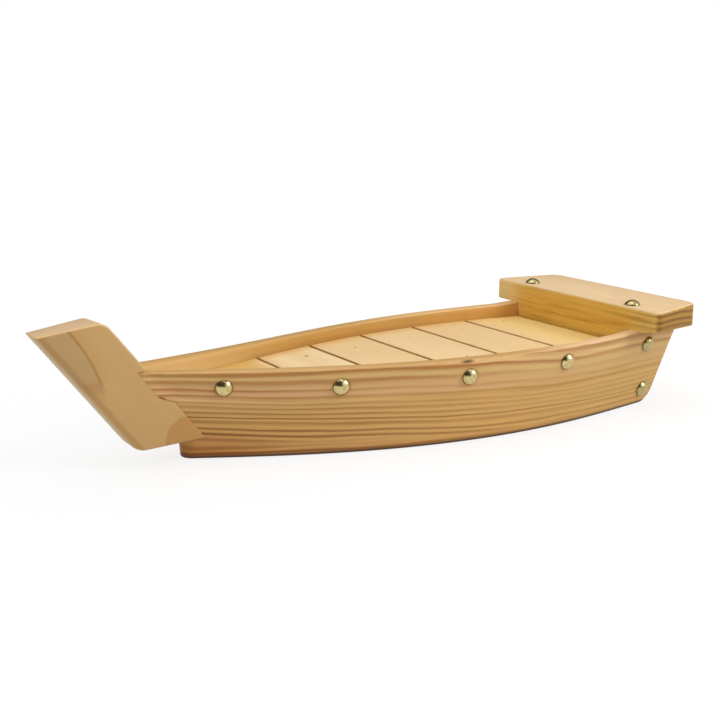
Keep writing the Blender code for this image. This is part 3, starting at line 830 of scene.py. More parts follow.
def streak_layers(tree, pine, wobble, height):
    """Grey wood before the streak, golden wood behind it, red wood below the grey, and the streak."""
    off = behind_streak(tree, pine, wobble)
    wavy_height = sums(tree, "MULTIPLY_ADD", wobble, 3.0, height)
    high = ease_between(tree, wavy_height, GREY_FOOT - 1.5, GREY_FOOT + 1.5)
    before = ease_between(tree, off, -1.6, 0.5, 1.0, 0.0)
    behind = times(tree, ease_between(tree, off, 0.4, 8.0, 1.0, 0.0), rest_of(tree, before))
    reddish = times(tree, before, rest_of(tree, high),
                    ease_between(tree, height, GREY_FOOT - 13.0, GREY_FOOT - 2.0))
    streak = times(tree, ease_between(tree, sums(tree, "ABSOLUTE", off), 0.1, 1.3, 0.6, 0.0),
                   ease_between(tree, height, GREY_FOOT - 8.0, GREY_FOOT))
    return ((times(tree, before, high, 0.58), GREY_WOOD), (times(tree, behind, high, 0.35), GOLDEN_WOOD),
            (times(tree, reddish, 0.5), RED_WOOD), (streak, STREAK_BROWN))


def heel_layers(tree, pine, wobble):
    """A dark round patch with a darker edge."""
    places = (sums(tree, "MULTIPLY_ADD", wobble, 4.0, pine.along), pine.across)
    patch = from_centre(tree, places, HEEL_PATCH, HEEL_PATCH_RADII)
    off_edge = sums(tree, "ABSOLUTE", sums(tree, "SUBTRACT", patch, 0.98))
    return ((ease_between(tree, patch, 0.92, 1.02, 0.62, 0.0), PATCH_BROWN),
            (ease_between(tree, off_edge, 0.0, 0.08, 0.22, 0.0), PATCH_EDGE))


def stem_edge_layers(tree, pine, height):
    """A dark line beside the nose, the pale nose, which is a painted highlight, and the pale crown with its
    golden edge, also a painted highlight.
    """
    upward = facing(tree, UP)
    nose_edge = times(tree, ease_between(tree, pine.across, NOSE_PLACE + 2.0, NOSE_PLACE + 4.6, 0.4, 0.0),
                      ease_between(tree, facing(tree, PORT), 0.9, 0.97))
    crown_highlight = times(tree, ease_between(tree, upward, 0.25, 0.6, 0.0, 0.9),
                       ease_between(tree, height, *CROWN_EDGE_HEIGHTS))
    return ((nose_edge, NOSE_EDGE),
            (ease_between(tree, facing(tree, NOSE_WAY), 0.3, 0.8, 0.0, 0.95), NOSE_HIGHLIGHT),
            (crown_highlight, CROWN_EDGE_HIGHLIGHT),
            (ease_between(tree, upward, 0.90, 0.985, 0.0, 0.85), CROWN_WOOD))


def stem_finish():
    """Smooth quiet pine, greyer in front of a streak at the top, with a dark rounded patch at the heel and
    painted highlights on the nose and the crown's edge.
    """
    material, tree, shader = new_finish("stem_pine")
    pine = Pine(tree, pith=(-230.0, 40.0), ring_width=14.0, wave=9.0, jitter=1.5)
    height = place_on_boat(tree)[2]
    wobble = sums(tree, "SUBTRACT", noise(tree, pine.grain, WOBBLE_SCALES), 0.5)
    colour = pine.colour(STEM_WOOD, STEM_LINES, STEM_WARM, line_share=0.08, fibre_share=0.05)
    colour = overlay(tree, colour, *streak_layers(tree, pine, wobble, height),
                     *heel_layers(tree, pine, wobble), *stem_edge_layers(tree, pine, height))
    pine.finish(shader, colour, STEM_WEAR_AND_HIGHLIGHT, roughness=0.5, bump=0.06, wear_and_highlight_share=0.1)
    return material


# Finish of the deck: the line of the planks' inner faces at the deck, as a cubic of x in millimetres

DECK_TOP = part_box("deck_slat_1")[1].z
FOREDECK_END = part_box("foredeck")[1].x * 1000.0
deck_stations = np.linspace(FORE_STATION_X, TRANSOM_FRONT_X, 20)
DECK_EDGE = np.polyfit(deck_stations * 1000.0, inner_half(deck_stations, DECK_TOP) * 1000.0, 3)
DECK_WOOD, DECK_LINES, DECK_WARM = srgb(251, 225, 180), srgb(230, 186, 120), srgb(244, 211, 154)
# Painted shade along the planks, then the golden wood of the foredeck and of the aft slats.
DECK_SIDE_SHADE, DECK_BOW, DECK_AFT = srgb(224, 178, 100), srgb(219, 172, 84), srgb(226, 184, 118)
# A painted golden reflection on the last slat, painted shade in the gaps, and the colour of the edges' wear.
LAST_SLAT_REFLECTION, DECK_GAP_SHADE, DECK_WORN = srgb(254, 218, 128), srgb(186, 134, 48), srgb(244, 216, 170)


def deck_finish():
    """Pale planed boards with hardly a line in them, more golden at both ends, with painted shade along the
    planks and in the gaps, and a painted golden reflection on the last slat.
    """
    material, tree, shader = new_finish("deck_pine")
    pine = Pine(tree, pith=(4.0, -55.0), ring_width=5.5, wave=8.0, jitter=2.0)
    x, y = place_on_boat(tree)[:2]
    edge = DECK_EDGE[0]
    for factor in DECK_EDGE[1:]:
        edge = sums(tree, "MULTIPLY_ADD", x, edge, factor)
    inward = sums(tree, "SUBTRACT", edge, sums(tree, "ABSOLUTE", y))
    wood = pine.colour(DECK_WOOD, DECK_LINES, DECK_WARM, line_share=0.40, tone_share=0.7)
    colour = overlay(tree, wood,
                     # Painted shade along the planks' inner faces.
                     (ease_between(tree, inward, 1.0, 14.0, 0.65, 0.0), DECK_SIDE_SHADE),
                     (ease_between(tree, x, FOREDECK_END - 12.0, FOREDECK_END + 1.0, 0.8, 0.1), DECK_BOW),
                     (ease_between(tree, x, -50.0, 100.0, 0.0, 0.42), DECK_AFT),
                     # Painted golden reflection from the transom, lighter where the seat shades the last
                     # slat.
                     (ease_between(tree, x, 108.0, 150.0, 0.0, 0.65), LAST_SLAT_REFLECTION),
                     # Painted shade on the slats' sides in the gaps.
                     (ease_between(tree, facing(tree, UP), 0.2, 0.75, 0.85, 0.0), DECK_GAP_SHADE))
    pine.finish(shader, colour, DECK_WORN, roughness=0.55, bump=0.12)
    return material


# Finish of the stern and of the boards below the deck

STERN_DRIFT = (0.02, 0.05, 0.01)
SMUDGE_SCALES = (0.025, 0.04, 0.05)
MOTTLE_SCALES = (0.020, 0.30, 0.1)
TOP_WOOD, TOP_LINES, TOP_WARM = srgb(236, 208, 162), srgb(208, 160, 108), srgb(228, 192, 144)
TOP_SMUDGE, SEAT_WORN = srgb(232, 188, 148), srgb(236, 204, 150)
# The front's colours are darkened and made golden: painted shade and painted light reflected from the deck.
FRONT_SHADED_WOOD, FRONT_SHADED_CLEAR = srgb(230, 182, 80), srgb(255, 222, 130)
FRONT_LINES, FRONT_SHADED_WARM = srgb(146, 86, 22), srgb(224, 170, 72)
FRONT_MOTTLE, FRONT_FAR_END = srgb(170, 116, 40), srgb(250, 212, 142)
SAWN_WOOD, SAWN_LINES, SAWN_WARM = srgb(184, 138, 62), srgb(96, 54, 16), srgb(166, 120, 50)
HIDDEN_WOOD, HIDDEN_LINES, HIDDEN_WARM = srgb(186, 142, 88), srgb(136, 90, 46), srgb(174, 128, 76)
HIDDEN_WORN = srgb(200, 162, 110)


def stern_finish():
    """Pale on top, golden and mottled on the front, darker layers on the sawn ends. The front's darker gold
    is painted shade and painted light reflected from the deck.
    """
    material, tree, shader = new_finish("stern_pine")
    pine = Pine(tree, pith=(-160.0, 14.0), ring_width=4.4, wave=4.0, jitter=0.8, drift=STERN_DRIFT)
    smudge = noise(tree, pine.grain, SMUDGE_SCALES)
    top = overlay(tree, pine.colour(TOP_WOOD, TOP_LINES, TOP_WARM, line_share=0.16, tone_share=0.8),
                  (ease_between(tree, smudge, 0.48, 0.72, 0.0, 0.6), TOP_SMUDGE))
    near_end = ease_between(tree, pine.along, -78.0, -40.0, 0.75, 0.10)
    # The front: painted shade and golden light reflected from the deck, with the wood's own lines and
    # mottling.
    clear = mix(tree, near_end, FRONT_SHADED_WOOD, FRONT_SHADED_CLEAR)
    mottle = noise(tree, pine.grain, MOTTLE_SCALES, roughness=0.55)
    front = pine.colour(clear, FRONT_LINES, FRONT_SHADED_WARM, near_end, tone_share=0.6, fibre_share=0.2)
    front = overlay(tree, front,
                    (ease_between(tree, mottle, 0.44, 0.74, 0.0, 0.5), FRONT_MOTTLE),
                    (ease_between(tree, pine.along, 44.0, 72.0, 0.0, 0.75), FRONT_FAR_END))
    sawn = ease_between(tree, sums(tree, "ABSOLUTE", facing(tree, PORT)), 0.4, 0.95)
    colour = overlay(tree, front, (sawn, pine.colour(SAWN_WOOD, SAWN_LINES, SAWN_WARM, line_share=1.0)),
                     (ease_between(tree, facing(tree, UP), 0.45, 0.85), top))
    pine.finish(shader, colour, SEAT_WORN, bump=0.18, wear_and_highlight_share=0.3, gloss=0.15)
    return material


def inside_finish():
    """Rougher, browner pine for the boards below the deck."""
    material, tree, shader = new_finish("inside_pine")
    pine = Pine(tree, pith=(-80.0, 30.0), ring_width=4.5, wave=5.0, jitter=2.0)
    colour = pine.colour(HIDDEN_WOOD, HIDDEN_LINES, HIDDEN_WARM, line_share=0.6, tone_share=0.6)
    pine.finish(shader, colour, HIDDEN_WORN, roughness=0.65, bump=0.35)
    return material


# Finish of the fasteners: the noises are scaled per metre

TARNISH_SCALES = (800.0, 800.0, 800.0)
DENT_SCALES = (700.0, 700.0, 700.0)
RUST_SCALES = (1500.0, 1500.0, 1500.0)
DENT_DEPTH = 0.0003
BRASS, TARNISH = (0.66, 0.55, 0.26, 1.0), (0.40, 0.30, 0.11, 1.0)
# Painted shade round the rim; brass that is duller towards the stern and carries painted shade there.
RIM_SHADE_LINE, DULL_AND_SHADED_BRASS = (0.16, 0.12, 0.045, 1.0), (0.32, 0.26, 0.12, 1.0)
DARK_STEEL, BROWN_STEEL, FAINT_STEEL = srgb(112, 92, 74), srgb(150, 124, 98), srgb(224, 188, 140)


def brass_finish():
    """Pale polished brass with faint dents, duller and with painted shade towards the stern, and a line of
    painted shade round the rim.
    """
    material, tree, shader = new_finish("tack_brass")
    place = object_place(tree)
    cloud = noise(tree, place, TARNISH_SCALES, detail=3.0)
    rim_shading = sums(tree, "MULTIPLY_ADD", cloud, 0.06, attribute(tree, "rim"))
    colour = overlay(tree, BRASS,
                     (ease_between(tree, cloud, 0.36, 0.68, 0.0, 0.75), TARNISH),
                     # A line of painted shade round the rim.
                     (ease_between(tree, rim_shading, 0.90, 1.01, 0.0, 0.85), RIM_SHADE_LINE),
                     # Duller brass towards the stern, and painted shade where the seat shades the aft tacks.
                     (ease_between(tree, place_on_boat(tree)[0], 90.0, 165.0, 0.0, 0.55), DULL_AND_SHADED_BRASS))
    tree.links.new(colour, shader.inputs["Base Color"])
    tree.links.new(sums(tree, "MULTIPLY_ADD", cloud, 0.20, 0.04), shader.inputs["Roughness"])
    shader.inputs["Metallic"].default_value = 1.0
    set_relief(tree, shader, noise(tree, place, DENT_SCALES), strength=0.3, depth=DENT_DEPTH)
    return material


def pin_finish():
    """Dull steel gone brown, the foremost pins the darkest."""
    material, tree, shader = new_finish("pin_steel")
    cloud = noise(tree, object_place(tree), RUST_SCALES, detail=3.0)
    faint = ease_between(tree, place_on_boat(tree)[0], -60.0, 40.0, 0.0, 0.9)
    colour = overlay(tree, DARK_STEEL, (cloud, BROWN_STEEL), (faint, FAINT_STEEL))
    tree.links.new(colour, shader.inputs["Base Color"])
    tree.links.new(sums(tree, "MULTIPLY_ADD", cloud, 0.3, 0.45), shader.inputs["Roughness"])
    return material


# Planks: a flat blank with rounded edges, divided and then bent to the hull

PLANK_CUTS = 130
NOSE_CUTS = 8
HEIGHT_CUTS = 26
CORNER_CUTS = 9
STARBOARD_LOG = 0.4

# Grain of the planks: it falls and bends along the boat, and its rings turn back low down
GRAIN_FALL = 0.062
GRAIN_BEND = 0.150
GRAIN_AT_RIM = 0.35
GRAIN_TURN = 0.0113
GRAIN_TURN_ROUND = 0.0012
GRAIN_TURN_WIDTH = 0.0026
GRAIN_HEIGHTS = (-0.030, 0.000, 0.028, 0.038, 0.070)
RINGS_BELOW = (-7.46, 0.54, 9.14, 11.54, 17.14)
BOW_DIP_STATIONS = (-0.20, -0.14, -0.08, -0.02, 0.04, 0.20)
BOW_DIP = (0.0016, 0.0016, 0.0016, 0.0, 0.0, 0.0)
MIDDLE_FAN_STATIONS = (-0.20, -0.08, -0.02, 0.03, 0.09, 0.20)
MIDDLE_FAN = (0.0, 0.0, 0.0003, 0.0011, 0.0003, 0.0)
bow_dip = smooth_curve(BOW_DIP_STATIONS, BOW_DIP)
middle_fan = smooth_curve(MIDDLE_FAN_STATIONS, MIDDLE_FAN)


def plank_grain(x, z):
    """Place across the grain of a place on the bent plank, and how near it is to the low line
    where the rings turn back."""
    rise = (GRAIN_FALL * x - GRAIN_BEND * x ** 2) * (1.0 - GRAIN_AT_RIM * (z / RIM_HEIGHT) ** 3)
    rise = rise + bow_dip(x) + middle_fan(x) * (1.0 - 2.0 * z / RIM_HEIGHT)
    above, below = z + rise, GRAIN_TURN - z
    height = (above + below + np.sqrt((above - below) ** 2 + GRAIN_TURN_ROUND ** 2)) / 2.0
    turning = np.exp(-((above - below) / GRAIN_TURN_WIDTH) ** 2)
    return np.interp(height, GRAIN_HEIGHTS, RINGS_BELOW) * RING_WIDTH, turning


def plank_blank(name, length):
    """A straight plank with rounded edges, divided finely at the nose and at the round corner."""
    piece = blank(name, (0.0, 0.0, 0.0), (length, PLANK_THICKNESS, RIM_HEIGHT))
    edit(piece)
    pick_all()
    round_picked(PLANK_EASE, EASE_SEGMENTS)
    leave_edit()
    mark_worn_lit_edges(piece)
    edit(piece)
    for plane_co, plane_no in (((2.0 * FOOT_ROUND, 0, 0), (1, 0, 0)), ((0, 0, AFT_CORNER_RADIUS), (0, 0, 1))):
        pick_all()
        bpy.ops.mesh.bisect(plane_co=plane_co, plane_no=plane_no)
    divide(piece, 0, length / 2.0, PLANK_CUTS)
    divide(piece, 0, FOOT_ROUND, NOSE_CUTS)
    divide(piece, 2, RIM_HEIGHT / 2.0, HEIGHT_CUTS)
    divide(piece, 2, AFT_CORNER_RADIUS / 2.0, CORNER_CUTS)
    leave_edit()
    return piece


def make_plank(side_name, side, material):
    """Bends a plank to the hull, with a round nose in the stem and the lap over the stem's cheek."""
    length = AFT_BOTTOM_X - FOOT_X
    piece = plank_blank("plank_" + side_name, length)
    share, depth, level = points_of(piece).T
    share, level = share / length, level / RIM_HEIGHT

    def x_at(z):
        return plank_front(z) + (plank_aft(z) - plank_front(z)) * share

    z = level * rim_height(x_at(level * RIM_HEIGHT))
    x = x_at(z)
    nose = np.clip((x - plank_front(z)) / FOOT_ROUND, NOSE_FLAT, 1.0)
    outer = hull_half(x, z) * np.sqrt(1.0 - (1.0 - nose) ** 2)
    back = behind_nose(x, z)
    above_lap = np.clip((z - lap_foot(back)) / LAP_STEP, 0.0, 1.0)
    past_lap = np.clip((back - LAP_SETBACK) / LAP_STEP + 1.0, 0.0, 1.0)
    outer = outer + above_lap * past_lap * np.maximum(0.0, stem_half(back) + LAP_PROUD - outer)
    y = np.maximum(outer - depth * slant(x, z), JOINT_GAP / 2.0)
    set_points(piece, x, side * y, z)
    face_outwards(piece)
    across, turning = plank_grain(x, z)
    log_place = STARBOARD_LOG if side > 0 else 0.0
    lay_grain(piece, x, across + log_place, depth)
    note_points(piece, "height", z * 1000.0)
    note_points(piece, "turning", turning)
    dress(piece, material, "plank_pine", "side_plank_" + side_name)


# Stem: a block raked, narrowed at the nose, rounded and slotted over the planks

NOTCH_CUTS = 7
WEDGE_CUTS = 15


def make_stem(material):
    """Draws a block to its rake, narrows the nose, rounds crown and toe, and slots it."""
    rear_half = STEM_REAR_HALF_WIDTH
    piece = blank("stem_block", (STEM_NOSE_X + STEM_NOSE_FIT, -rear_half, STEM_BOTTOM_AT_NOSE),
                  (STEM_REAR_X, rear_half, STEM_TOP_AT_NOSE))
    middle_x = STEM_NOSE_X + STEM_DEPTH / 2.0
    middle_z = (STEM_BOTTOM_AT_NOSE + STEM_TOP_AT_NOSE) / 2.0
    height = STEM_TOP_AT_NOSE - STEM_BOTTOM_AT_NOSE

    def behind(place):
        return place.x > raked(middle_x, place.z)

    edit(piece)
    for above, rise, fit in ((True, STEM_TOP_SLOPE * STEM_DEPTH + STEM_TOP_RISE, STEM_CROWN_FIT),
                             (False, STEM_BOTTOM_SLOPE * STEM_DEPTH, STEM_HEEL_FIT)):
        pick(piece, "verts", lambda v: v.co.x > middle_x and (v.co.z > middle_z) == above)
        bpy.ops.transform.translate(value=(fit - RAKE * rise, 0.0, rise))
    pick(piece, "verts", lambda v: v.co.z < middle_z)
    bpy.ops.transform.translate(value=(RAKE * height, 0.0, 0.0))
    pick(piece, "verts", lambda v: v.co.z > STEM_TOP_AT_NOSE and v.co.y > 0.0)
    bpy.ops.transform.translate(value=(0.0, 0.0, STEM_TOP_SKEW))
    pick(piece, "verts", lambda v: not behind(v.co))
    bpy.ops.transform.resize(value=(1.0, STEM_NOSE_HALF_WIDTH / rear_half, 1.0),
                             center_override=(0.0, 0.0, middle_z))
    for above, radius in ((True, STEM_CROWN_ROUND), (False, STEM_TOE_RADIUS)):
        pick(piece, "edges", lambda e: edge_run(e, 1) > 0.0 and all(
            (v.co.z > middle_z) == above and behind(v.co) == above for v in e.verts))
        round_picked(radius, CORNER_SEGMENTS)
    leave_edit()
    weigh_stem_edges(piece)
    ease_edges(piece, STEM_EASE, weighed=True)
    cut_out(piece, slot_wedge())
    cut_out(piece, cheek_notch())
    points = points_of(piece)
    up = np.array((-math.sin(STEM_RAKE), 0.0, math.cos(STEM_RAKE)))
    lay_grain(piece, points @ up, points @ -np.array(NOSE_WAY), points[:, 1])
    mark_worn_lit_edges(piece)
    dress(piece, material, "stem_pine", "stem")


def weigh_stem_edges(piece):
    """Rounds the long edges fully and the sharp edges from side to side only a little."""
    bm = bmesh.new()
    bm.from_mesh(piece.data)
    weight = bm.edges.layers.float.new("bevel_weight_edge")
    for edge in bm.edges:
        if edge.calc_face_angle(0.0) > EASE_ANGLE:
            edge[weight] = STEM_CRISP_SHARE if edge_run(edge, 1) > STEM_NOSE_HALF_WIDTH else 1.0
    bm.to_mesh(piece.data)
    bm.free()


def cutter_blank(name, cuts, *axes):
    """A block one long and high and two wide, divided along some axes, ready to be bent."""
    piece = blank(name, (0.0, -1.0, 0.0), (1.0, 1.0, 1.0))
    edit(piece)
    for axis in axes:
        divide(piece, axis, 0.5, cuts)
    leave_edit()
    return piece


def cheek_notch():
    """The room over the planks' upper ends, where the stem has no cheeks. It opens to the rear."""
    piece = cutter_blank("cheek_notch", NOTCH_CUTS, 0)
    share, side, level = points_of(piece).T
    back = LAP_SETBACK + share * STEM_DEPTH
    low = lap_foot(back)
    high = rim_height(raked(STEM_NOSE_X + back, RIM_HEIGHT + BOW_SHEER)) + SLOT_CLEARANCE
    high = high + LAP_TOP_SLOPE * (back - LAP_SETBACK)
    z = low + (high - low) * level
    set_points(piece, raked(STEM_NOSE_X + back, z), side * STEM_DEPTH, z)
    return piece


def slot_wedge():
    """The room that the two plank ends take up in the stem."""
    piece = cutter_blank("slot_wedge", WEDGE_CUTS, 0, 2)
    share, side, level = points_of(piece).T

    def x_at(z):
        front = plank_front(z) - SLOT_CLEARANCE
        return front + (raked(STEM_REAR_X, z) + STEM_DEPTH / 2.0 - front) * share

    top = rim_height(x_at(RIM_HEIGHT + BOW_SHEER)) + SLOT_CLEARANCE
    z = -STEM_BOTTOM_AT_NOSE + (top + STEM_BOTTOM_AT_NOSE) * level
    x = x_at(z)
    set_points(piece, x, side * (hull_half(x, z) + SLOT_CLEARANCE), z)
    return piece


# Boards between the planks, each from its own place in a log

BOARD_CUTS = 24
BOTTOM_CUTS = 60
TRANSOM_CUTS = 8
FOREDECK_LOG = 0.31
SLAT_LOG_STEP = 0.17
FRAME_LOG = 1.1
FRAME_LOG_STEP = 0.2
BOTTOM_LOG = 2.3
SLAT_COUNT = 5
FRAMES = ("fore", "mid", "aft")


def blank_between_planks(name, low, high, cuts):
    """A board whose ends follow the planks' inner faces."""
    piece = blank(name, (low.x, -1.0, low.z), (high.x, 1.0, high.z))
    edit(piece)
    divide(piece, 0, (high.x - low.x) / 2.0, cuts)
    leave_edit()
    x, side, z = points_of(piece).T
    set_points(piece, x, side * (inner_half(x, z) - JOINT_GAP), z)
    return piece


def make_board(name, node, material, slot, ease, log_place, cuts=BOARD_CUTS, shrinkage=0.0):
    """A board across the boat, dried to a little less than its width."""
    low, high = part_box(node)
    dried = Vector((shrinkage, 0.0, 0.0))
    piece = blank_between_planks(name, low + dried, high - dried, cuts)
    ease_edges(piece, ease, BOARD_SEGMENTS)
    x, y, z = points_of(piece).T
    lay_grain(piece, y + log_place, x - x.mean(), z - log_place)
    mark_worn_lit_edges(piece)
    dress(piece, material, slot, node)


def make_batten(side_name, side, material):
    """A strip under the deck, closer to the middle towards the bow."""
    node = "deck_batten_" + side_name
    low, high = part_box(node)
    inside, outside = sorted((abs(low.y), abs(high.y)))
    piece = blank("batten_" + side_name, (low.x, 0.0, low.z), (high.x, BATTEN_WIDTH, high.z))
    x, y, z = points_of(piece).T
    share = (x - low.x) / (high.x - low.x)
    y = inside + y + (outside - BATTEN_WIDTH - inside) * share
    set_points(piece, x, side * y, z)
    face_outwards(piece)
    ease_edges(piece, HIDDEN_EASE, BOARD_SEGMENTS)
    x, y, z = points_of(piece).T
    lay_grain(piece, x, y + side, z)
    mark_worn_lit_edges(piece)
    dress(piece, material, "inside_pine", node)


def finish_stern_board(piece, material, node):
    x, y, z = points_of(piece).T
    lay_grain(piece, y, z, x - TRANSOM_FRONT_X)
    mark_worn_lit_edges(piece)
    dress(piece, material, "stern_pine", node)


def make_seat(material):
    """A board narrowed to the back, with round corners, and lifted a little under its port corner."""
    low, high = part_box("stern_seat")
    front_half = SEAT_FRONT_HALF_LENGTH + SEAT_FRONT_FIT
    piece = blank("seat_board", (TRANSOM_FRONT_X, -front_half, low.z),
                  (OVERALL_LENGTH / 2.0, front_half, high.z))
    middle_x = TRANSOM_FRONT_X + SEAT_DEPTH / 2.0
    middle_z = (low.z + high.z) / 2.0
    edit(piece)
    pick(piece, "verts", lambda v: v.co.x > middle_x)
    bpy.ops.transform.resize(value=(1.0, SEAT_BACK_HALF_LENGTH / front_half, 1.0),
                             center_override=(middle_x, 0.0, middle_z))
    pick(piece, "verts", lambda v: v.co.x > middle_x and v.co.z > middle_z)
    bpy.ops.transform.translate(value=(0.0, 0.0, SEAT_BACK_RISE))
    pick(piece, "edges", lambda e: edge_run(e, 2) > 0.0)
    round_picked(SEAT_CORNER_ROUND, CORNER_SEGMENTS)
    pick(piece, "edges", lambda e: all(v.co.z > middle_z for v in e.verts))
    round_picked(SEAT_EASE, EASE_SEGMENTS)
    front = TRANSOM_FRONT_X + SEAT_CORNER_START
    pick(piece, "edges", lambda e: edge_run(e, 2) == 0.0 and all(
        v.co.z < low.z + JOINT_GAP for v in e.verts) and max(v.co.x for v in e.verts) > front)
    round_picked(SEAT_FOOT_EASE, EASE_SEGMENTS)
    leave_edit()
    x, y, z = points_of(piece).T
    outboard = np.clip((-y - SEAT_BACK_HALF_LENGTH) / SEAT_LIFT_LENGTH, 0.0, 1.0)
    foot = np.clip((middle_z - z) / (middle_z - low.z), 0.0, 1.0)
    set_points(piece, x, y, z + SEAT_CORNER_LIFT * outboard * foot)
    finish_stern_board(piece, material, "stern_seat")


def make_transom(material):
    """The thick board across the hull, glued under the seat."""
    low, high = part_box("transom")
    high.z = SEAT_UNDERSIDE - GLUE_LINE
    piece = blank_between_planks("transom_board", low, high, TRANSOM_CUTS)
    finish_stern_board(piece, material, "transom")


# Fasteners: one tack and one pin, then a copy with its own mesh at each place

TACK_RIM = 0.00025
TACK_SEGMENTS = 48
TACK_TIP = 0.02
PIN_SEGMENTS = 20
PIN_TIP = 0.1
PIN_DOME = 0.8
PIN_LIFT = 0.0001


def turn_tack():
    """A domed head cut from a ball, a thin rim, and a pointed shank below."""
    ball = (TACK_HEAD_RADIUS ** 2 + TACK_HEAD_HEIGHT ** 2) / (2.0 * TACK_HEAD_HEIGHT)
    bpy.ops.object.select_all(action="DESELECT")
    bpy.ops.mesh.primitive_uv_sphere_add(segments=TACK_SEGMENTS, ring_count=TACK_SEGMENTS, radius=ball,
                                         location=(0.0, 0.0, TACK_HEAD_HEIGHT - ball))
    pattern = bpy.context.object
    bpy.ops.object.transform_apply(location=True, rotation=True, scale=True)
    edit(pattern)
    pick_all()
    bpy.ops.mesh.bisect(plane_co=(0.0, 0.0, TACK_RIM), plane_no=UP, clear_inner=True)
    point = 2.0 * TACK_SHANK_RADIUS
    draw_out(((TACK_RIM, 1.0), (0.0, TACK_SHANK_RADIUS / TACK_HEAD_RADIUS),
              (TACK_SHANK_LENGTH - point, 1.0), (point, TACK_TIP)))
    bpy.ops.mesh.merge(type="COLLAPSE")
    leave_edit()
    face_outwards(pattern)
    x, y = points_of(pattern).T[:2]
    note_points(pattern, "rim", np.hypot(x, y) / TACK_HEAD_RADIUS)
    return pattern


def turn_pin():
    """A thin nail with a low domed head, its top at the origin."""
    low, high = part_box("slat_pin_port_1")
    bpy.ops.object.select_all(action="DESELECT")
    bpy.ops.mesh.primitive_cylinder_add(vertices=PIN_SEGMENTS, radius=PIN_HEAD_RADIUS, depth=PIN_HEAD_HEIGHT,
                                        location=(0.0, 0.0, -PIN_HEAD_HEIGHT / 2.0))
    pattern = bpy.context.object
    bpy.ops.object.transform_apply(location=True, rotation=True, scale=True)
    edit(pattern)
    pick(pattern, "faces", lambda f: f.normal.z < -NEARLY_ALONG)
    point = 2.0 * PIN_RADIUS
    draw_out(((0.0, PIN_RADIUS / PIN_HEAD_RADIUS), (high.z - low.z - PIN_HEAD_HEIGHT - point, 1.0),
              (point, PIN_TIP)))
    pick(pattern, "edges", lambda e: all(v.co.z > -PIN_HEAD_HEIGHT / 2.0 for v in e.verts))
    round_picked(PIN_DOME * PIN_HEAD_HEIGHT, EASE_SEGMENTS)
    leave_edit()
    return pattern


def turned_axis(node, outward):
    """The crown of a turned solid and the way it points, from the spread of its points."""
    points = np.unique(np.round(points_of(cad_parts[node]), 6), axis=0)
    middle = points.mean(axis=0)
    spread, ways = np.linalg.svd(points - middle)[1:]
    way = ways[0] if spread[0] - spread[1] > spread[1] - spread[2] else ways[2]
    way = way * np.sign(way @ outward)
    return Vector(middle + way * ((points - middle) @ way).max()), Vector(way)


def drive_in(pattern, name, place):
    """A copy of a fastener with its own mesh, moved and turned to its place."""
    piece = bpy.data.objects.new(name, pattern.data.copy())
    bpy.context.scene.collection.objects.link(piece)
    piece.data.transform(place)
    return piece


def set_tacks(material):
    """A tack on the axis of each solid tack, its crown where the solid has it."""
    pattern = turn_tack()
    for node in sorted(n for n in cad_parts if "_tack_" in n):
        side = -1.0 if "port" in node else 1.0
        outward = UP if node.startswith("seat") else (0.0, side, 0.0)
        crown, way = turned_axis(node, np.array(outward))
        turn = way.to_track_quat("Z", "Y").to_matrix().to_4x4()
        place = Matrix.Translation(crown - way * TACK_HEAD_HEIGHT) @ turn
        dress(drive_in(pattern, node + "_head", place), material, "tack_brass", node)
    bpy.data.objects.remove(pattern, do_unlink=True)


def set_pins(material):
    """A pin in each slat's hole, a hair proud of the wood."""
    pattern = turn_pin()
    for node in sorted(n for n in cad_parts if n.startswith("slat_pin")):
        low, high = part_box(node)
        top = ((low.x + high.x) / 2.0, (low.y + high.y) / 2.0, high.z + PIN_LIFT)
        dress(drive_in(pattern, node + "_nail", Matrix.Translation(top)), material, "pin_steel", node)
    bpy.data.objects.remove(pattern, do_unlink=True)


# Stage: a pale floor that glows more away from the boat, a white room, two lamps and dark cards

FLOOR_SIZE = 12.0
FLOOR_DROP = 0.0002
FLOOR_GREY = 0.62
FLOOR_ROUGHNESS = 0.9
FLOOR_GLOW_SHARE = 0.68
FLOOR_GLOW_REACH = (0.15, 0.9)
FLOOR_GLOW = (1.18, 1.32)
ROOM_STRENGTH = 0.62
LAMPS = (("key_lamp", (0.93, -0.98, 0.86), 0.7, 10.5), ("top_lamp", (-0.2, 0.1, 1.5), 1.2, 5.6))
LAMP_TARGET = Vector((0.0, 0.0, 0.03))
ROOM_CARD_TURN = math.radians(-20.0)
CARD_GREY = 0.02
CARD_GLOW = (1.0, 0.97, 0.9, 1.0)
CARD_EDGE = (0.36, 0.5)
CARD_STRENGTHS = (0.01, 0.7)
CARD_UNSEEN_BY = ("visible_camera", "visible_diffuse", "visible_shadow", "visible_transmission")


def seen_rays(tree):
    """1 for rays from the camera, and for those mirrored or passed on by glossy and clear things."""
    path = tree.nodes.new("ShaderNodeLightPath")
    glossy = sums(tree, "MAXIMUM", path.outputs["Is Glossy Ray"], path.outputs["Is Transmission Ray"])
    return sums(tree, "MAXIMUM", path.outputs["Is Camera Ray"], glossy)


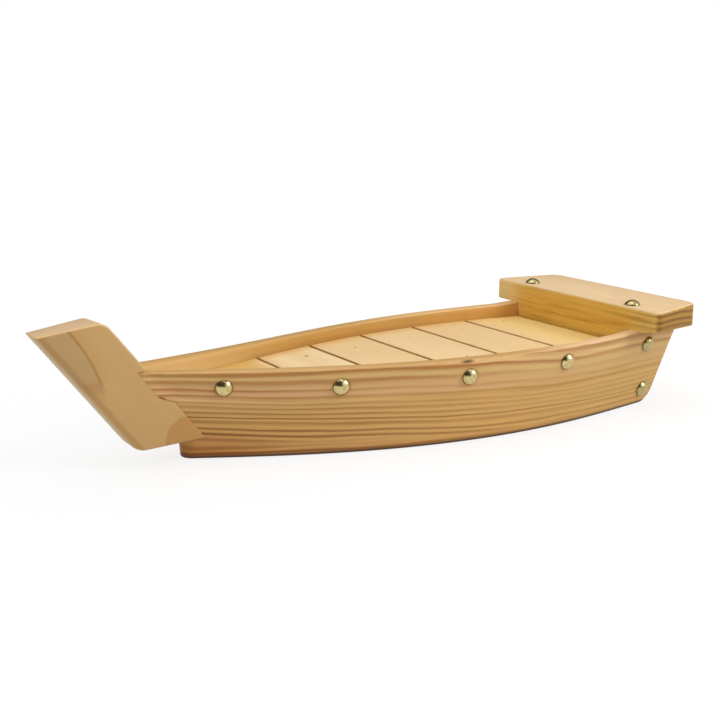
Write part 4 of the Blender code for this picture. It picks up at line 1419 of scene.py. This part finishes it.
def make_floor():
    """A matt floor that keeps the shadow, and looks white further out."""
    bpy.ops.object.select_all(action="DESELECT")
    bpy.ops.mesh.primitive_plane_add(size=FLOOR_SIZE, location=(0.0, 0.0, -FLOOR_DROP))
    floor = bpy.context.object
    floor.name = "studio_floor"
    material, tree, shader = new_finish("pale_floor")
    shader.inputs["Base Color"].default_value = grey(FLOOR_GREY)
    shader.inputs["Roughness"].default_value = FLOOR_ROUGHNESS
    shader.inputs["Specular IOR Level"].default_value = 0.0
    glow = tree.nodes.new("ShaderNodeEmission")
    x, y = split(tree, object_place(tree))[:2]
    reach = from_centre(tree, (x, y), (0.0, 0.0), (1.0, 1.0))
    tree.links.new(ease_between(tree, reach, *FLOOR_GLOW_REACH, *FLOOR_GLOW), glow.inputs["Strength"])
    blend_shaders(tree, times(tree, seen_rays(tree), FLOOR_GLOW_SHARE), shader, glow, "Material Output")
    floor.data.materials.append(material)


def make_world():
    """A white room that lights the boat less than it shows."""
    world = bpy.data.worlds.new("studio")
    bpy.context.scene.world = world
    world.use_nodes = True
    tree = world.node_tree
    room = tree.nodes["Background"]
    white = tree.nodes.new("ShaderNodeBackground")
    for node in (room, white):
        node.inputs["Color"].default_value = grey(1.0)
    room.inputs["Strength"].default_value = ROOM_STRENGTH
    blend_shaders(tree, seen_rays(tree), room, white, "World Output")


def make_lamp(name, place, size, power):
    lamp = bpy.data.lights.new(name, "AREA")
    lamp.shape = "SQUARE"
    lamp.size = size
    lamp.energy = power
    holder = bpy.data.objects.new(name, lamp)
    bpy.context.scene.collection.objects.link(holder)
    holder.location = place
    holder.rotation_euler = (LAMP_TARGET - Vector(place)).to_track_quat("-Z", "Y").to_euler()


def make_dark_card(name, way, distance, width, height):
    """A dark card that stands on the floor, fades out to its edges, and that only glossy things see."""
    bpy.ops.object.select_all(action="DESELECT")
    middle = Vector((0.0, 0.0, height / 2.0))
    bpy.ops.mesh.primitive_plane_add(size=1.0, location=middle + way * distance)
    card = bpy.context.object
    card.name = name
    card.scale = (width, height, 1.0)
    card.rotation_euler = way.to_track_quat("Z", "Y").to_euler()
    material, tree, shader = new_finish(name)
    shader.inputs["Base Color"].default_value = grey(CARD_GREY)
    shader.inputs["Emission Color"].default_value = CARD_GLOW
    x, y = split(tree, object_place(tree))[:2]
    reach = sums(tree, "MAXIMUM", sums(tree, "ABSOLUTE", x), sums(tree, "ABSOLUTE", y))
    strength = ease_between(tree, reach, *CARD_EDGE, *CARD_STRENGTHS)
    tree.links.new(strength, shader.inputs["Emission Strength"])
    card.data.materials.append(material)
    for seen in CARD_UNSEEN_BY:
        setattr(card, seen, False)


def make_dark_cards(back):
    """The dark room behind the camera, and a flag behind the boat that draws the edges of the brass."""
    level_back = Vector((back.x, back.y, 0.0)).normalized()
    turned_back = Matrix.Rotation(ROOM_CARD_TURN, 3, "Z") @ level_back
    make_dark_card("room_card", turned_back, distance=1.0, width=2.6, height=2.3)
    make_dark_card("back_card", -level_back, distance=1.2, width=3.0, height=1.4)


# Camera, at the photograph's viewing angle

CAMERA_AZIMUTH = math.radians(-32.0)
CAMERA_ELEVATION = math.radians(13.34)
CAMERA_ROLL = math.radians(0.22)
CAMERA_DISTANCE = 0.71711
CAMERA_TARGET = Vector((-0.00837, 0.0, 0.0422))
CAMERA_LENS_MM = 58.24
CAMERA_CLIP = 0.01
SENSOR_MM = 36.0


def make_camera():
    """Sets the camera, and returns the way from the boat to it."""
    level = math.cos(CAMERA_ELEVATION)
    back = Vector((math.sin(CAMERA_AZIMUTH) * level, -math.cos(CAMERA_AZIMUTH) * level,
                   math.sin(CAMERA_ELEVATION)))
    right = Vector((math.cos(CAMERA_AZIMUTH), math.sin(CAMERA_AZIMUTH), 0.0))
    up = back.cross(right)
    rolled_right = math.cos(CAMERA_ROLL) * right + math.sin(CAMERA_ROLL) * up
    rolled_up = math.cos(CAMERA_ROLL) * up - math.sin(CAMERA_ROLL) * right
    lens = bpy.data.cameras.new("photo_camera")
    lens.lens = CAMERA_LENS_MM
    lens.sensor_width = SENSOR_MM
    lens.clip_start = CAMERA_CLIP
    camera = bpy.data.objects.new("photo_camera", lens)
    bpy.context.scene.collection.objects.link(camera)
    camera.matrix_world = Matrix((rolled_right, rolled_up, back)).transposed().to_4x4()
    camera.location = CAMERA_TARGET + back * CAMERA_DISTANCE
    bpy.context.scene.camera = camera
    return back


# Building the boat

plank_pine = plank_finish()
deck_pine = deck_finish()
stern_pine = stern_finish()
inside_pine = inside_finish()
for side_name, side in SIDES:
    make_plank(side_name, side, plank_pine)
    make_batten(side_name, side, inside_pine)
make_stem(stem_finish())
make_board("foredeck_board", "foredeck", deck_pine, "deck_pine", SLAT_EASE, FOREDECK_LOG)
for number in range(1, SLAT_COUNT + 1):
    make_board(f"slat_{number}", f"deck_slat_{number}", deck_pine, "deck_pine", SLAT_EASE,
               SLAT_LOG_STEP * number, shrinkage=SLAT_SHRINKAGE)
for number, place_name in enumerate(FRAMES):
    make_board("cross_frame_" + place_name, "frame_" + place_name, inside_pine, "inside_pine", HIDDEN_EASE,
               FRAME_LOG + FRAME_LOG_STEP * number)
make_board("bottom_plate", "bottom_board", inside_pine, "inside_pine", HIDDEN_EASE, BOTTOM_LOG, BOTTOM_CUTS)
make_transom(stern_pine)
make_seat(stern_pine)
set_tacks(brass_finish())
set_pins(pin_finish())

make_floor()
make_world()
for lamp in LAMPS:
    make_lamp(*lamp)
make_dark_cards(make_camera())
bpy.context.scene.view_settings.view_transform = "Standard"
